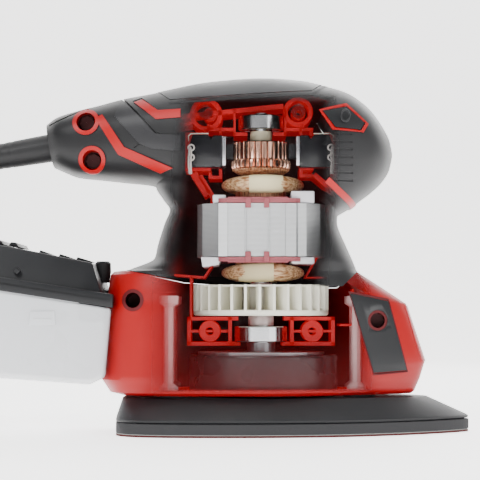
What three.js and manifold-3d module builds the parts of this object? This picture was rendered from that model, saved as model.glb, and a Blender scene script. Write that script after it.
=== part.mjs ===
// A detail mouse sander: clamshell casing, motor, fan, orbiting pad, dust box and mains lead.
// Millimetres, +Z up, +X towards the pad's tip, -Y the right-hand side.
// The origin is on the sanding face, on the motor's axis.
import * as THREE from "three";
import { mergeVertices } from "three/addons/utils/BufferGeometryUtils.js";
import Module from "manifold-3d";

const wasm = await Module();
wasm.setup();

// ---- Driving dimensions ----
const clearance = 0.3; // between pieces that touch
const farAway = 300; // the reach of a cutting block

// Pad, from the sanding face up
const padRear = -60.2;
const padTip = 85.9;
const padHalfWidth = 46.5;
const sheetThickness = 0.8;
const foamThickness = 4.3;
const baseThickness = 9.2;
const baseBevel = 12; // how far the base's top outline stands in at the sides
const rearBevelShare = 0.2; // and how much of that at the rear and at the tip
const tipBevelShare = 1.5;
const orbitRadius = 1;
const drumRadius = 31;
const drumHeight = 16.7;
const drumWall = 2.5;

// Posts between the casing and the pad
const rearPostX = -38;
const rearPostY = 21;
const frontPostX = 39.5;
const frontPostY = 9;
const postStemRadius = 2;
const postFlangeRadius = 4;
const postSocketWall = 1.8;
const padSocketWall = 1.4;

// Bearings: outer radius, bore radius and width
const lowerBearing = { outer: 11, bore: 4.3, width: 6.5 };
const upperBearing = { outer: 9.5, bore: 3.3, width: 6 };
const ringWall = 2.2;

// Motor
const shaftRadius = 4;
const shaftNoseRadius = 3;
const collarRadius = 6;
const collarHeight = 3.4;
const weightRadius = 26.5;
const bridgeHeight = 12.1;
const bridgeHalfLength = 31;
const bridgeFloor = 1.3;
const fanRadius = 28.3;
const fanHeight = 12.7;
const fanHubRadius = 7;
const fanHubHeight = 13.7;
const fanBlades = 18;
const endTurnHeight = 7.6;
const insulatorThickness = 1.8;
const stackHeight = 21.7;
const stackHalfLength = 26.6;
const stackHalfDepth = 22;
const statorBore = 15;
const armatureRadius = 14.2;
const armatureSlots = 8;
const slotHalfWidth = 1.6;
const slotMiddle = 9.6;
const slotDepth = 5.4;
const coilInner = 12.6;
const coilOuter = 19;
const coilNearY = 11.3;
const coilFarY = 17.5;
const upperTurnLift = 4.8; // from the stack's insulator up to the upper end-turn
const upperTurnHeight = 7.2;
const commutatorRadius = 11.4;
const commutatorHookRadius = 12.5;
const commutatorHeight = 11.2;
const commutatorHook = 3.5;
const bushRadius = 4.5;
const bushHeight = 4;

// Casing
const gripThickness = 1.9;
const shellThickness = 2.4;
const skirtWall = 2.6;
const skirtGap = 1.1; // over the pad
const skirtHeight = 50.4;
const skirtHalfWidth = 38.5;
const neckSpare = 0.6; // between the stack and the neck's inside
const headHalfWidth = 32.5;
const handleHalfWidth = 21.5;
const splitGap = 0.15; // half the gap at the parting face
const bossRadius = 5;
const screwRadius = 1.5;
const screwHeadRadius = 3.1;
const screwHeadDepth = 3;
const screwSeat = 8; // from the parting face to the head's seat
const screwReach = 8; // past the parting face
const panelThickness = 1.5;
const nosePlateHalfWidth = 7;

// Switch and brushes
const switchTravel = 3.5;
const brushHolderLength = 15;
const brushHolderHalf = 6;
const brushHalf = 3;

// Dust box
const boxFront = -60;
const boxRear = -150;
const boxHalfWidth = 32;
const boxWall = 2;
const boxFloor = 20.5;
const rimTilt = 0.153;
const rimHeight = 5.5;
const lidTopLift = 19;
const spigotRadius = 7;
const spigotWall = 1.2;
const spigotZ = 52.5;

// Mains lead
const bootSlope = 0.171;
const bootRadius = 5.9;
const bootEndRadius = 4.6;
const bootRear = -130;
const bootInner = -80.3;
const cordRadius = 3.25;
const coilCentre = [-170, 62];
const coilTurnPitch = 6.6;
const coilMeanRadius = 36;
const tieThickness = 0.9;
const tieWidth = 9;

// ---- Levels, worked out upwards from the sanding face ----
const foamZ = sheetThickness + clearance;
const baseZ = foamZ + foamThickness + clearance;
const baseTop = baseZ + baseThickness;
const drumZ = baseTop + clearance;
const drumTop = drumZ + drumHeight;
const skirtBottom = baseTop + skirtGap;
const skirtTop = skirtBottom + skirtHeight;
const discZ = drumTop + 0.5;
const collarTop = discZ + 1.2 + collarHeight;
const lowerBearingZ = collarTop + clearance;
const bridgeZ = lowerBearingZ - bridgeFloor - clearance;
const bridgeTop = bridgeZ + bridgeHeight;
const fanZ = bridgeTop + 0.5;
const endTurnZ = fanZ + fanHubHeight + clearance;
const stackZ = endTurnZ + endTurnHeight + insulatorThickness + 3 * clearance;
const stackTop = stackZ + stackHeight;
const upperInsulatorZ = stackTop + clearance;
const upperTurnZ = stackTop + upperTurnLift;
const upperTurnTop = upperTurnZ + upperTurnHeight;
const commutatorZ = upperTurnTop + 3.4;
const commutatorTop = commutatorZ + commutatorHeight;
const bushZ = commutatorTop + 0.7;
const upperBearingZ = bushZ + bushHeight + 0.5;
const shaftTop = upperBearingZ + upperBearing.width + 1.2;
const headZ = upperBearingZ - 8.3; // the level that the head and the handle are built round
const brushZ = (commutatorZ + commutatorHook + commutatorTop) / 2;

// ---- Solids ----
function toSolid(geometry) {
  const bare = geometry.index ? geometry.toNonIndexed() : geometry;
  bare.deleteAttribute("normal");
  bare.deleteAttribute("uv");
  const merged = mergeVertices(bare, 1e-4);
  return new wasm.Manifold(
    new wasm.Mesh({
      numProp: 3,
      vertProperties: merged.attributes.position.array,
      triVerts: new Uint32Array(merged.index.array),
    }),
  );
}

function box([x0, x1], [y0, y1], [z0, z1]) {
  const block = new THREE.BoxGeometry(x1 - x0, y1 - y0, z1 - z0);
  return toSolid(block.translate((x0 + x1) / 2, (y0 + y1) / 2, (z0 + z1) / 2));
}

// A turned solid about a vertical line; the profile is [radius, height] pairs, closed on itself.
function turned(profile, sides = 24, [x, y] = [0, 0]) {
  const points = profile.map(([r, z]) => new THREE.Vector2(r, z));
  points.push(points[0].clone());
  const lathe = new THREE.LatheGeometry(points, sides);
  return toSolid(lathe.rotateX(Math.PI / 2).translate(x, y, 0));
}

function ring(inner, outer, z0, z1, sides, place) {
  return turned([[inner, z0], [outer, z0], [outer, z1], [inner, z1]], sides, place);
}

function rod(radius, z0, z1, sides = 18, place = [0, 0]) {
  return turned([[0, z0], [radius, z0], [radius, z1], [0, z1]], sides, place);
}

// A round bar along Y through (x, z), and one along X through (y, z).
function barY(radius, x, z, y0, y1, sides = 8) {
  const bar = new THREE.CylinderGeometry(radius, radius, y1 - y0, sides);
  return toSolid(bar.translate(x, (y0 + y1) / 2, z));
}

function barX(radius, y, z, x0, x1, sides = 14) {
  const bar = new THREE.CylinderGeometry(radius, radius, x1 - x0, sides).rotateZ(Math.PI / 2);
  return toSolid(bar.translate((x0 + x1) / 2, y, z));
}

// An outline in the XZ plane, pushed out from y0 to y1.
function sidePlate(outline, y0, y1) {
  const shape = new THREE.Shape(outline.map(([x, z]) => new THREE.Vector2(x, z)));
  const plate = new THREE.ExtrudeGeometry(shape, { depth: y1 - y0, bevelEnabled: false });
  return toSolid(plate.rotateX(Math.PI / 2).translate(0, y1, 0));
}

// An outline in the XY plane, pushed up from z0 to z1.
function plate(outline, z0, z1) {
  const shape = new THREE.Shape(outline.map(([x, y]) => new THREE.Vector2(x, y)));
  const slab = new THREE.ExtrudeGeometry(shape, { depth: z1 - z0, bevelEnabled: false });
  return toSolid(slab.translate(0, 0, z0));
}

// A closed skin over rings of equally many points, with a flat fan at each end.
function skin(rings) {
  const count = rings[0].length;
  const points = rings.flat();
  const faces = [];
  const last = rings.length - 1;
  for (let r = 0; r < last; r++) {
    for (let i = 0; i < count; i++) {
      const [a, b] = [r * count + i, r * count + ((i + 1) % count)];
      faces.push(a, b, b + count, a, b + count, a + count);
    }
  }
  const middle = (ringPoints) =>
    [0, 1, 2].map((k) => ringPoints.reduce((sum, p) => sum + p[k], 0) / count);
  points.push(middle(rings[0]), middle(rings[last]));
  for (let i = 0; i < count; i++) {
    const next = (i + 1) % count;
    faces.push(points.length - 2, next, i);
    faces.push(points.length - 1, last * count + i, last * count + next);
  }
  const geometry = new THREE.BufferGeometry();
  geometry.setAttribute("position", new THREE.Float32BufferAttribute(points.flat(), 3));
  geometry.setIndex(faces);
  const solid = toSolid(geometry);
  return solid.volume() > 0 ? solid : toSolid(flipped(geometry));
}

function flipped(geometry) {
  const index = [...geometry.index.array];
  for (let i = 0; i < index.length; i += 3) {
    [index[i + 1], index[i + 2]] = [index[i + 2], index[i + 1]];
  }
  geometry.setIndex(index);
  return geometry;
}

const powered = (value, power) => Math.sign(value) * Math.abs(value) ** power;

// ---- Outer form of the casing ----
const neckFront = stackHalfLength + gripThickness + clearance + shellThickness + neckSpare;
const neckHalf = stackHalfDepth + gripThickness + clearance + shellThickness + 4.6;

// The lower casing from the skirt's hem to inside the head: side-view limits, half width, how
// square the ring is and how much it narrows to the nose. drop is the share of an inset that
// lowers the ring, where the form is a shoulder.
const bodyLevels = [
  { z: skirtBottom, rear: -58.2, front: 62.6, half: 35.5, power: 0.5, taper: 0.7, drop: 0 },
  { z: skirtBottom + 6.3, rear: -65.9, front: 66.3, half: 38.5, power: 0.5, taper: 0.7, drop: 0 },
  { z: skirtBottom + 13.4, rear: -65.5, front: 68.5, half: 38.5, power: 0.5, taper: 0.72, drop: 0 },
  { z: skirtBottom + 37.3, rear: -64.2, front: 60.6, half: 37.5, power: 0.5, taper: 0.66, drop: 0.5 },
  { z: skirtBottom + 44, rear: -63.3, front: 50.3, half: 36, power: 0.53, taper: 0.5, drop: 0.8 },
  { z: skirtTop, rear: -61.2, front: 40.6, half: 33.8, power: 0.6, taper: 0.2, drop: 1 },
  { z: skirtTop + 0.8, rear: -55.2, front: 39.8, half: 33.4, power: 0.62, taper: 0.15, drop: 1 },
  { z: stackZ - 0.5, rear: -44.5, front: neckFront + 6, half: neckHalf + 0.6, power: 0.66, taper: 0, drop: 0.4 },
  { z: stackZ + 4.9, rear: -43.2, front: neckFront + 3.6, half: neckHalf, power: 0.66, taper: 0, drop: 0 },
  { z: stackTop - 7.3, rear: -40.2, front: neckFront, half: neckHalf, power: 0.66, taper: 0, drop: 0 },
  { z: stackTop + 2.8, rear: -41.2, front: neckFront + 3, half: neckHalf, power: 0.66, taper: 0, drop: 0 },
  { z: stackTop + 8.6, rear: -44.1, front: neckFront + 5, half: neckHalf, power: 0.66, taper: 0, drop: 0 },
  { z: headZ - 1, rear: -40, front: neckFront, half: neckHalf - 3, power: 0.7, taper: 0, drop: 0 },
];
const widthScale = skirtHalfWidth / 38.5;
const taperStart = 5;
const bodySides = 20;

function bodyRing(level, inset) {
  const rear = level.rear + inset;
  const front = level.front - inset;
  const middle = (rear + front) / 2;
  const reach = (front - rear) / 2;
  const half = level.half * (level.taper > 0 ? widthScale : 1) - inset;
  const points = [];
  for (let i = 0; i < bodySides; i++) {
    const angle = (2 * Math.PI * i) / bodySides;
    const x = middle + reach * powered(Math.cos(angle), level.power);
    const along = Math.max(0, (x - taperStart) / (front - taperStart));
    const narrow = 1 - level.taper * along ** 1.3;
    const y = half * narrow * powered(Math.sin(angle), level.power);
    points.push([x, y, level.z - Math.max(0, inset) * level.drop]);
  }
  return points;
}

// inset is [skirt, neck]; openHem carries the skirt's inside down through its lower edge.
function bodyForm([skirtInset, neckInset], openHem = false) {
  const insetAt = (level) => (level.z <= skirtTop - 6 ? skirtInset : neckInset);
  const rings = bodyLevels.map((level) => bodyRing(level, insetAt(level)));
  if (openHem) {
    rings.unshift(rings[0].map(([x, y, z]) => [x, y, z - 2]));
  }
  return skin(rings);
}

// The head and the rear handle: side-view limits, half width, squareness and lean of each ring.
const headStations = [
  { x: -88.1, low: -7.7, high: 10.5, half: handleHalfWidth - 8.5, power: 0.75, lean: -0.17 },
  { x: -77, low: -11.7, high: 15.9, half: handleHalfWidth - 2, power: 0.75, lean: -0.05 },
  { x: -67, low: -12.7, high: 18.6, half: handleHalfWidth, power: 0.77, lean: 0 },
  { x: -46, low: -15, high: 23.2, half: headHalfWidth - 5.5, power: 0.8, lean: 0 },
  { x: -36, low: -20, high: 25.4, half: headHalfWidth - 3, power: 0.8, lean: 0 },
  { x: 0, low: -29, high: 29.7, half: headHalfWidth, power: 0.8, lean: 0 },
  { x: 27, low: -29.5, high: 26.4, half: headHalfWidth - 0.5, power: 0.82, lean: 0 },
  { x: 35.3, low: -26, high: 24, half: headHalfWidth - 2.5, power: 0.84, lean: 0 },
  { x: 42.1, low: -21.3, high: 19.8, half: headHalfWidth - 6, power: 0.86, lean: 0 },
  { x: 47, low: -17.5, high: 15.2, half: headHalfWidth - 10, power: 0.9, lean: 0 },
  { x: 53.7, low: -9.1, high: 4.5, half: headHalfWidth - 22.5, power: 1, lean: 0 },
  { x: 55, low: -4, high: -0.5, half: 3, power: 1, lean: 0 },
];
const headSides = 14;

function headForm(inset) {
  const ends = [headStations[0].x, headStations.at(-1).x];
  const middleX = (ends[0] + ends[1]) / 2;
  const shrink = 1 - (2 * inset) / (ends[1] - ends[0]);
  const rings = headStations.map((station) => {
    const level = headZ + (station.low + station.high) / 2;
    const reach = Math.max(0.5, (station.high - station.low) / 2 - inset);
    const half = Math.max(0.5, station.half - inset);
    const x = middleX + (station.x - middleX) * shrink;
    return Array.from({ length: headSides }, (_, i) => {
      const angle = (2 * Math.PI * i) / headSides;
      const z = reach * powered(Math.cos(angle), station.power);
      const y = half * powered(Math.sin(angle), station.power);
      return [x + station.lean * z, y, level + z];
    });
  });
  return skin(rings);
}

const outerForm = bodyForm([0, 0]).add(headForm(0));
const gripInside = bodyForm([gripThickness, gripThickness]).add(headForm(gripThickness));
const coreInset = gripThickness + clearance;
const coreForm = bodyForm([coreInset, coreInset]).add(headForm(coreInset));
const cavityInset = coreInset + shellThickness;
const cavity = bodyForm([skirtWall, cavityInset], true).add(headForm(cavityInset));
const wallReach = bodyForm([1, coreInset + 1]).add(headForm(coreInset + 1));
const gripLayer = outerForm.subtract(gripInside);

// The overmould covers all above this line, seen from the side.
function gripZone(grow) {
  const line = [[-62, 1.2], [-55, 0.6], [-33, -3.8], [0, -6.4], [33, -6.1], [40, 0.4], [60, 9]];
  const edge = line.map(([x, dz]) => [x, skirtTop + dz - grow]);
  return sidePlate([[-110, skirtTop + 100], [-110, skirtTop + 18], ...edge,
    [80, skirtTop + 20], [80, skirtTop + 100]], -farAway, farAway);
}

// The pad in the palm lies above this line.
function palmZone(grow) {
  const line = [[-45.5, 24.9], [-43.4, 23.9], [-37.6, 18.9], [20.7, 22.7], [27.5, 28.6]];
  const edge = line.map(([x, dz]) => [x, headZ + dz - grow]);
  edge[0][0] -= grow;
  edge.at(-1)[0] += grow;
  return sidePlate([[edge[0][0], headZ + 60], ...edge, [edge.at(-1)[0], headZ + 60]],
    -farAway, farAway);
}

function sideOf(side) {
  const far = [splitGap, farAway];
  return side > 0 ? far : far.map((y) => -y).reverse();
}

function halfSpace(side) {
  return box([-farAway, farAway], sideOf(side), [-farAway, farAway]);
}

// ---- Places that several pieces share ----
const screws = [
  { name: "screw_handle_upper", x: -72.2, z: headZ + 10.2, mouth: 5 },
  { name: "screw_handle_lower", x: -69.6, z: headZ - 5.6, mouth: 5 },
  { name: "screw_head_rear", x: -23, z: headZ + 15, mouth: screwHeadRadius + 0.4 },
  { name: "screw_head_front", x: 15.5, z: headZ + 15.5, mouth: screwHeadRadius + 0.4 },
  { name: "screw_skirt_rear", x: -52, z: skirtTop - 11.9, mouth: 4.2 },
  { name: "screw_skirt_front", x: 47.6, z: skirtTop - 20.1, mouth: 4.2 },
];
const posts = [
  { name: "post_rear_right", x: rearPostX, y: -rearPostY },
  { name: "post_rear_left", x: rearPostX, y: rearPostY },
  { name: "post_front_right", x: frontPostX, y: -frontPostY },
  { name: "post_front_left", x: frontPostX, y: frontPostY },
];
const postTop = skirtTop - 10;
const postBottom = drumZ + 1;
const statorOutline = [
  [stackHalfLength, 8], [24, 16], [15, stackHalfDepth], [-15, stackHalfDepth], [-24, 16],
  [-stackHalfLength, 8], [-stackHalfLength, -8], [-24, -16], [-15, -stackHalfDepth],
  [15, -stackHalfDepth], [24, -16], [stackHalfLength, -8],
];
const switchOutline = [[24.6, 13.6], [29.8, 6.7], [40.3, 5.9], [42.3, 9], [34.6, 15.8]];

function switchPrism(grow, y0, y1) {
  const centre = [34.3, 10.2];
  const outline = switchOutline.map(([x, dz]) => {
    const [dx, dy] = [x - centre[0], dz - centre[1]];
    const reach = Math.hypot(dx, dy);
    return [centre[0] + dx * (1 + grow / reach), headZ + centre[1] + dy * (1 + grow / reach)];
  });
  return sidePlate(outline, y0, y1);
}

// ---- Casing ----
function bridge() {
  const wall = 1.6;
  let block = box([-bridgeHalfLength, bridgeHalfLength], [-60, 60], [bridgeZ, bridgeTop - clearance]);
  for (const end of [-1, 1]) {
    const cell = [13 * end, (bridgeHalfLength - wall) * end].sort((a, b) => a - b);
    block = block.subtract(box(cell, [-24, 24], [bridgeZ + wall, bridgeTop - clearance - wall]));
  }
  const pocket = lowerBearing.outer + clearance;
  const pocketTop = lowerBearingZ + lowerBearing.width + clearance;
  block = block.subtract(rod(pocket, lowerBearingZ - clearance, pocketTop, 32));
  return block.subtract(rod(collarRadius + 1, 0, bridgeTop + 1, 24));
}

function upperSeat() {
  const top = upperBearingZ + upperBearing.width + clearance;
  let block = box([-11.5, 11.5], [-60, 60], [upperBearingZ - 2.3, top + 1.5]);
  block = block.subtract(rod(upperBearing.outer + clearance, upperBearingZ - clearance, top, 32));
  return block.subtract(rod(bushRadius + 0.8, 0, top + 0.5, 24));
}

function brushShelves() {
  const shelf = (end, z0) => {
    const [x0, x1] = [13.5 * end, 32 * end].sort((a, b) => a - b);
    return box([x0, x1], [-60, 60], [z0, z0 + 1.6]);
  };
  const upper = brushZ + brushHolderHalf + 1 + clearance;
  const lower = brushZ - brushHolderHalf - 1 - clearance - 1.6;
  return [shelf(-1, upper), shelf(1, upper), shelf(-1, lower), shelf(1, lower)]
    .reduce((sum, one) => sum.add(one));
}

function statorRibs() {
  const inner = stackHalfDepth + clearance;
  return box([-9, 9], [inner, 60], [stackZ + 4, stackTop - 4])
    .add(box([-9, 9], [-60, -inner], [stackZ + 4, stackTop - 4]));
}

function postSockets() {
  const outer = postFlangeRadius + clearance + postSocketWall;
  const sockets = posts.map(({ x, y }) => rod(outer, postTop - 5, postTop + 12, 8, [x, y]));
  return sockets.reduce((sum, one) => sum.add(one));
}

function postPockets() {
  return posts
    .map(({ x, y }) => rod(postFlangeRadius + clearance, 0, postTop + clearance, 8, [x, y]))
    .reduce((sum, one) => sum.add(one));
}

function bosses() {
  return screws
    .map(({ x, z }) => barY(bossRadius, x, z, -60, 60))
    .reduce((sum, one) => sum.add(one));
}

// The bores and mouths that the screws need, through the casing and what covers it.
function screwHoles() {
  return screws
    .map(({ x, z, mouth }) =>
      barY(screwRadius + clearance, x, z, -screwSeat - 1, screwReach + 1)
        .add(barY(screwHeadRadius + clearance, x, z, -70, -screwSeat))
        .add(barY(mouth, x, z, -70, -screwSeat - screwHeadDepth - 1, 10)))
    .reduce((sum, one) => sum.add(one));
}

const insideParts = [bridge(), upperSeat(), brushShelves(), statorRibs(), postSockets(), bosses()]
  .reduce((sum, one) => sum.add(one))
  .intersect(wallReach);
const screwCuts = screwHoles();
const switchCut = switchPrism(clearance, -farAway, farAway);
const bootAxisZ = (x) => headZ + 0.9 - (-88.6 - x) * bootSlope;

// A round bar along the lead's sloping axis at the end of the handle.
function bootBar(radius0, radius1, x0, x1, sides = 12) {
  const length = (x1 - x0) * Math.hypot(1, bootSlope);
  const bar = new THREE.CylinderGeometry(radius1, radius0, length, sides);
  bar.rotateZ(-Math.PI / 2 + Math.atan(bootSlope));
  return toSolid(bar.translate((x0 + x1) / 2, 0, (bootAxisZ(x0) + bootAxisZ(x1)) / 2));
}

function sidePanelZone(grow) {
  const outline = [[36, -9], [45.8, -41.4], [60, -40.6], [52.3, -12.2]];
  const centre = [48.5, -26];
  const grown = outline.map(([x, dz]) => {
    const [dx, dy] = [x - centre[0], dz - centre[1]];
    const reach = 1 + grow / Math.hypot(dx, dy);
    return [centre[0] + dx * reach, skirtTop + centre[1] + dy * reach];
  });
  const inset = panelThickness + grow;
  return sidePlate(grown, -farAway, farAway).subtract(bodyForm([inset, inset]));
}

function nosePlateZone(grow) {
  const [top, low] = [skirtTop - 13.9 + grow, skirtTop - 37 - grow];
  const outline = [[59 - grow, top], [66.4 - grow, low], [80, low], [80, top]];
  const half = nosePlateHalfWidth + grow;
  return sidePlate(outline, -half, half);
}

const spigotCut = barX(spigotRadius + clearance, 0, spigotZ, -90, boxFront + 4);
const leadCut = bootBar(bootRadius + clearance, bootRadius + clearance, -110, -70)
  .add(bootBar(8 + clearance, 8 + clearance, -84 - clearance, -80));
const panelNeighbour = sidePanelZone(clearance);
const noseNeighbour = nosePlateZone(clearance);
const seatForBearingTop = rod(shaftNoseRadius + 1, 0, shaftTop + 1, 16);

function housing(side) {
  const skirt = outerForm.subtract(gripZone(clearance));
  const whole = skirt.add(coreForm).subtract(cavity).add(insideParts)
    .subtract(postPockets()).subtract(screwCuts).subtract(switchCut).subtract(leadCut)
    .subtract(spigotCut).subtract(panelNeighbour).subtract(noseNeighbour)
    .subtract(seatForBearingTop);
  return whole.intersect(halfSpace(side));
}

function grip(side) {
  return gripLayer.intersect(gripZone(0)).subtract(palmZone(clearance))
    .subtract(switchCut).subtract(screwCuts).subtract(leadCut).intersect(halfSpace(side));
}

function frontPanel(side) {
  return sidePanelZone(0).intersect(outerForm).subtract(screwCuts).intersect(halfSpace(side));
}

// ---- Screws, posts and small fittings ----
function screw({ x, z }) {
  return barY(screwRadius, x, z, -screwSeat - clearance - 1, screwReach)
    .add(barY(screwHeadRadius, x, z, -screwSeat - clearance - screwHeadDepth, -screwSeat - clearance));
}

function post({ x, y }) {
  const profile = [[0, postBottom], [postFlangeRadius, postBottom],
    [postFlangeRadius, postBottom + 3], [postStemRadius, postBottom + 4.5],
    [postStemRadius, postTop - 4.5], [postFlangeRadius, postTop - 3],
    [postFlangeRadius, postTop], [0, postTop]];
  return turned(profile, 8, [x, y]);
}

function spigot() {
  const tube = barX(spigotRadius, 0, spigotZ, -76, boxFront + 1.5);
  return tube.subtract(barX(spigotRadius - spigotWall, 0, spigotZ, -90, boxFront + 4));
}

// ---- Motor, fixed pieces ----
function stator() {
  const window = (end) => {
    const [x0, x1] = [(coilInner - clearance) * end, (coilOuter + clearance) * end]
      .sort((a, b) => a - b);
    return box([x0, x1], [-coilFarY - clearance, coilFarY + clearance], [0, farAway]);
  };
  return plate(statorOutline, stackZ, stackTop)
    .subtract(rod(statorBore, 0, farAway, 40)).subtract(window(-1)).subtract(window(1));
}

function fieldCoil(side) {
  const outline = (x, z0, z1, round) => {
    const shape = new THREE.Shape();
    shape.moveTo(-x + round, z0).lineTo(x - round, z0);
    shape.absarc(x - round, z0 + round, round, -Math.PI / 2, 0);
    shape.absarc(x - round, z1 - round, round, 0, Math.PI / 2);
    shape.absarc(-x + round, z1 - round, round, Math.PI / 2, Math.PI);
    shape.absarc(-x + round, z0 + round, round, Math.PI, 1.5 * Math.PI);
    return shape.getPoints(3).slice(0, -1).map((p) => [p.x, p.y]);
  };
  const [y0, y1] = side > 0 ? [coilNearY, coilFarY] : [-coilFarY, -coilNearY];
  const inner = outline(coilInner, endTurnZ + endTurnHeight, upperTurnZ, 2);
  return sidePlate(outline(coilOuter, endTurnZ, upperTurnTop, 6), y0, y1)
    .subtract(sidePlate(inner, -farAway, farAway));
}

function insulator(z0) {
  return box([-11.8, 11.8], [-21.5, 21.5], [z0, z0 + insulatorThickness])
    .add(box([-24, 24], [-coilNearY + 0.5, coilNearY - 0.5], [z0, z0 + insulatorThickness]))
    .subtract(rod(statorBore + 0.2, 0, farAway, 32));
}

function terminalBlock(x0, x1) {
  return box([x0, x1], [-21.2, -coilFarY - clearance], [upperInsulatorZ, upperTurnZ - clearance]);
}

function brushHolder(end) {
  const inner = commutatorHookRadius + 2.3;
  const [x0, x1] = [inner * end, (inner + brushHolderLength) * end].sort((a, b) => a - b);
  const outerHalf = brushHolderHalf + 1;
  const hole = brushHalf + clearance;
  const [h0, h1] = [(inner - 1) * end, (inner + brushHolderLength - 1.2) * end]
    .sort((a, b) => a - b);
  return box([x0, x1], [-brushHolderHalf, brushHolderHalf], [brushZ - outerHalf, brushZ + outerHalf])
    .subtract(box([h0, h1], [-hole, hole], [brushZ - hole, brushZ + hole]));
}

const brushInner = commutatorRadius + clearance;
const brushOuter = commutatorHookRadius + 2.3 + 5.5;

function carbonBrush(end) {
  const [x0, x1] = [brushInner * end, brushOuter * end].sort((a, b) => a - b);
  return box([x0, x1], [-brushHalf, brushHalf], [brushZ - brushHalf, brushZ + brushHalf]);
}

function brushSpring(end) {
  const start = brushOuter + clearance + 0.35;
  const stop = commutatorHookRadius + 2.3 + brushHolderLength - 1.2 - clearance - 0.35;
  const turns = 4;
  class Helix extends THREE.Curve {
    getPoint(t, target = new THREE.Vector3()) {
      const angle = 2 * Math.PI * turns * t;
      const x = (start + (stop - start) * t) * end;
      return target.set(x, 2.2 * Math.cos(angle), brushZ + 2.2 * Math.sin(angle));
    }
  }
  const wire = new THREE.Shape().absarc(0, 0, 0.35, 0, 2 * Math.PI);
  const options = { steps: turns * 7, curveSegments: 2, extrudePath: new Helix() };
  return toSolid(new THREE.ExtrudeGeometry(wire, options));
}

function switchBody() {
  return box([33, 43], [-9, 9], [headZ - 9, headZ + 4.5]);
}

// The switch's cross bar shows on both sides: a six-sided cap at each end of a slim bar.
function switchButton() {
  const reach = headHalfWidth - 1.5;
  const cap = 8;
  const slim = 0.5;
  return switchPrism(0, -reach, -reach + cap)
    .add(switchPrism(0, reach - cap - switchTravel, reach - switchTravel))
    .add(box([33, 37], [-reach + slim, reach - switchTravel - slim], [headZ + 8, headZ + 12]));
}

// ---- Rotor ----
function shaft() {
  const step = bushZ - clearance;
  return turned([[0, discZ - 2.5], [shaftRadius, discZ - 2.5], [shaftRadius, step],
    [shaftNoseRadius, step], [shaftNoseRadius, shaftTop], [0, shaftTop]], 20);
}

function eccentric() {
  const pin = lowerBearing.bore - clearance;
  const centre = [orbitRadius, 0];
  const collar = rod(collarRadius, drumZ + 10, collarTop, 24);
  const disc = rod(weightRadius, discZ - 0.4, discZ + 0.8, 24);
  const weight = rod(weightRadius, drumTop - 5, discZ, 24)
    .intersect(box([-farAway, -8], [-farAway, farAway], [0, farAway]));
  return collar.add(disc).add(weight).add(rod(pin, drumZ + 2, drumZ + 11, 24, centre))
    .subtract(rod(shaftRadius + clearance, discZ - 2.5 - clearance, farAway, 24));
}

function fan() {
  const bladeThickness = 1.1;
  let body = turned([[shaftRadius + clearance, fanZ], [fanRadius, fanZ], [fanRadius, fanZ + 1.8],
    [fanHubRadius, fanZ + 1.8], [fanHubRadius, fanZ + fanHubHeight],
    [shaftRadius + clearance, fanZ + fanHubHeight]], 24);
  for (let i = 0; i < fanBlades; i++) {
    const blade = new THREE.BoxGeometry(13, bladeThickness, fanHeight - 1);
    blade.translate(0, 0, fanZ + 1 + (fanHeight - 1) / 2).rotateZ(0.5);
    blade.translate(fanRadius - 7, 0, 0).rotateZ((2 * Math.PI * i) / fanBlades);
    body = body.add(toSolid(blade));
  }
  return body.intersect(ring(shaftRadius + clearance, fanRadius, 0, farAway, 24));
}

function armatureSlotCut(grow, z0, z1) {
  let cut = null;
  for (let i = 0; i < armatureSlots; i++) {
    const slot = new THREE.BoxGeometry(slotDepth + 2 * grow, 2 * (slotHalfWidth + grow), z1 - z0);
    slot.translate(slotMiddle, 0, (z0 + z1) / 2).rotateZ((2 * Math.PI * i) / armatureSlots);
    cut = cut ? cut.add(toSolid(slot)) : toSolid(slot);
  }
  return cut;
}

function armatureCore() {
  return ring(shaftRadius + clearance, armatureRadius, stackZ, stackTop, 24)
    .subtract(armatureSlotCut(clearance, 0, farAway));
}

function armatureWinding() {
  const end = (z0, z1) => ring(shaftRadius + clearance, coilNearY - 0.6, z0, z1, 16);
  const lower = end(endTurnZ + clearance, stackZ - clearance);
  const upper = end(stackTop + clearance, upperTurnTop);
  return lower.add(upper).add(armatureSlotCut(0, stackZ - 1, stackTop + 1));
}

function commutator() {
  const bore = shaftRadius + clearance;
  return turned([[bore, commutatorZ], [commutatorHookRadius, commutatorZ],
    [commutatorHookRadius, commutatorZ + commutatorHook],
    [commutatorRadius, commutatorZ + commutatorHook], [commutatorRadius, commutatorTop],
    [bore, commutatorTop]], 24);
}

// ---- Bearings ----
function outerRing(bearing, z0, place) {
  return ring(bearing.outer - ringWall, bearing.outer, z0, z0 + bearing.width, 20, place);
}

function innerRing(bearing, z0, place) {
  return ring(bearing.bore, bearing.bore + ringWall, z0, z0 + bearing.width, 16, place);
}

const padBearingZ = drumZ + 3;
const padCentre = [orbitRadius, 0];

// ---- Orbiting pad ----
// Half outlines from the rear edge to the tip, drawn with curves and mirrored.
function padOutline(inset) {
  const half = padHalfWidth - inset;
  const rear = padRear + inset * rearBevelShare;
  const tip = padTip - inset * tipBevelShare;
  const shape = new THREE.Shape();
  shape.moveTo(rear, -half * 0.5);
  shape.bezierCurveTo(rear, -half * 0.86, rear + 12, -half * 0.93, rear + 22, -half * 0.965);
  shape.bezierCurveTo(-22, -half * 1.01, 8, -half * 1.01, 30, -half * 0.86);
  shape.bezierCurveTo(58, -half * 0.66, tip - 3, -half * 0.2, tip, 0);
  shape.bezierCurveTo(tip - 3, half * 0.2, 58, half * 0.66, 30, half * 0.86);
  shape.bezierCurveTo(8, half * 1.01, -22, half * 1.01, rear + 22, half * 0.965);
  shape.bezierCurveTo(rear + 12, half * 0.93, rear, half * 0.86, rear, half * 0.5);
  return shape.getPoints(5).map((p) => [p.x + orbitRadius, p.y]);
}

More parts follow.
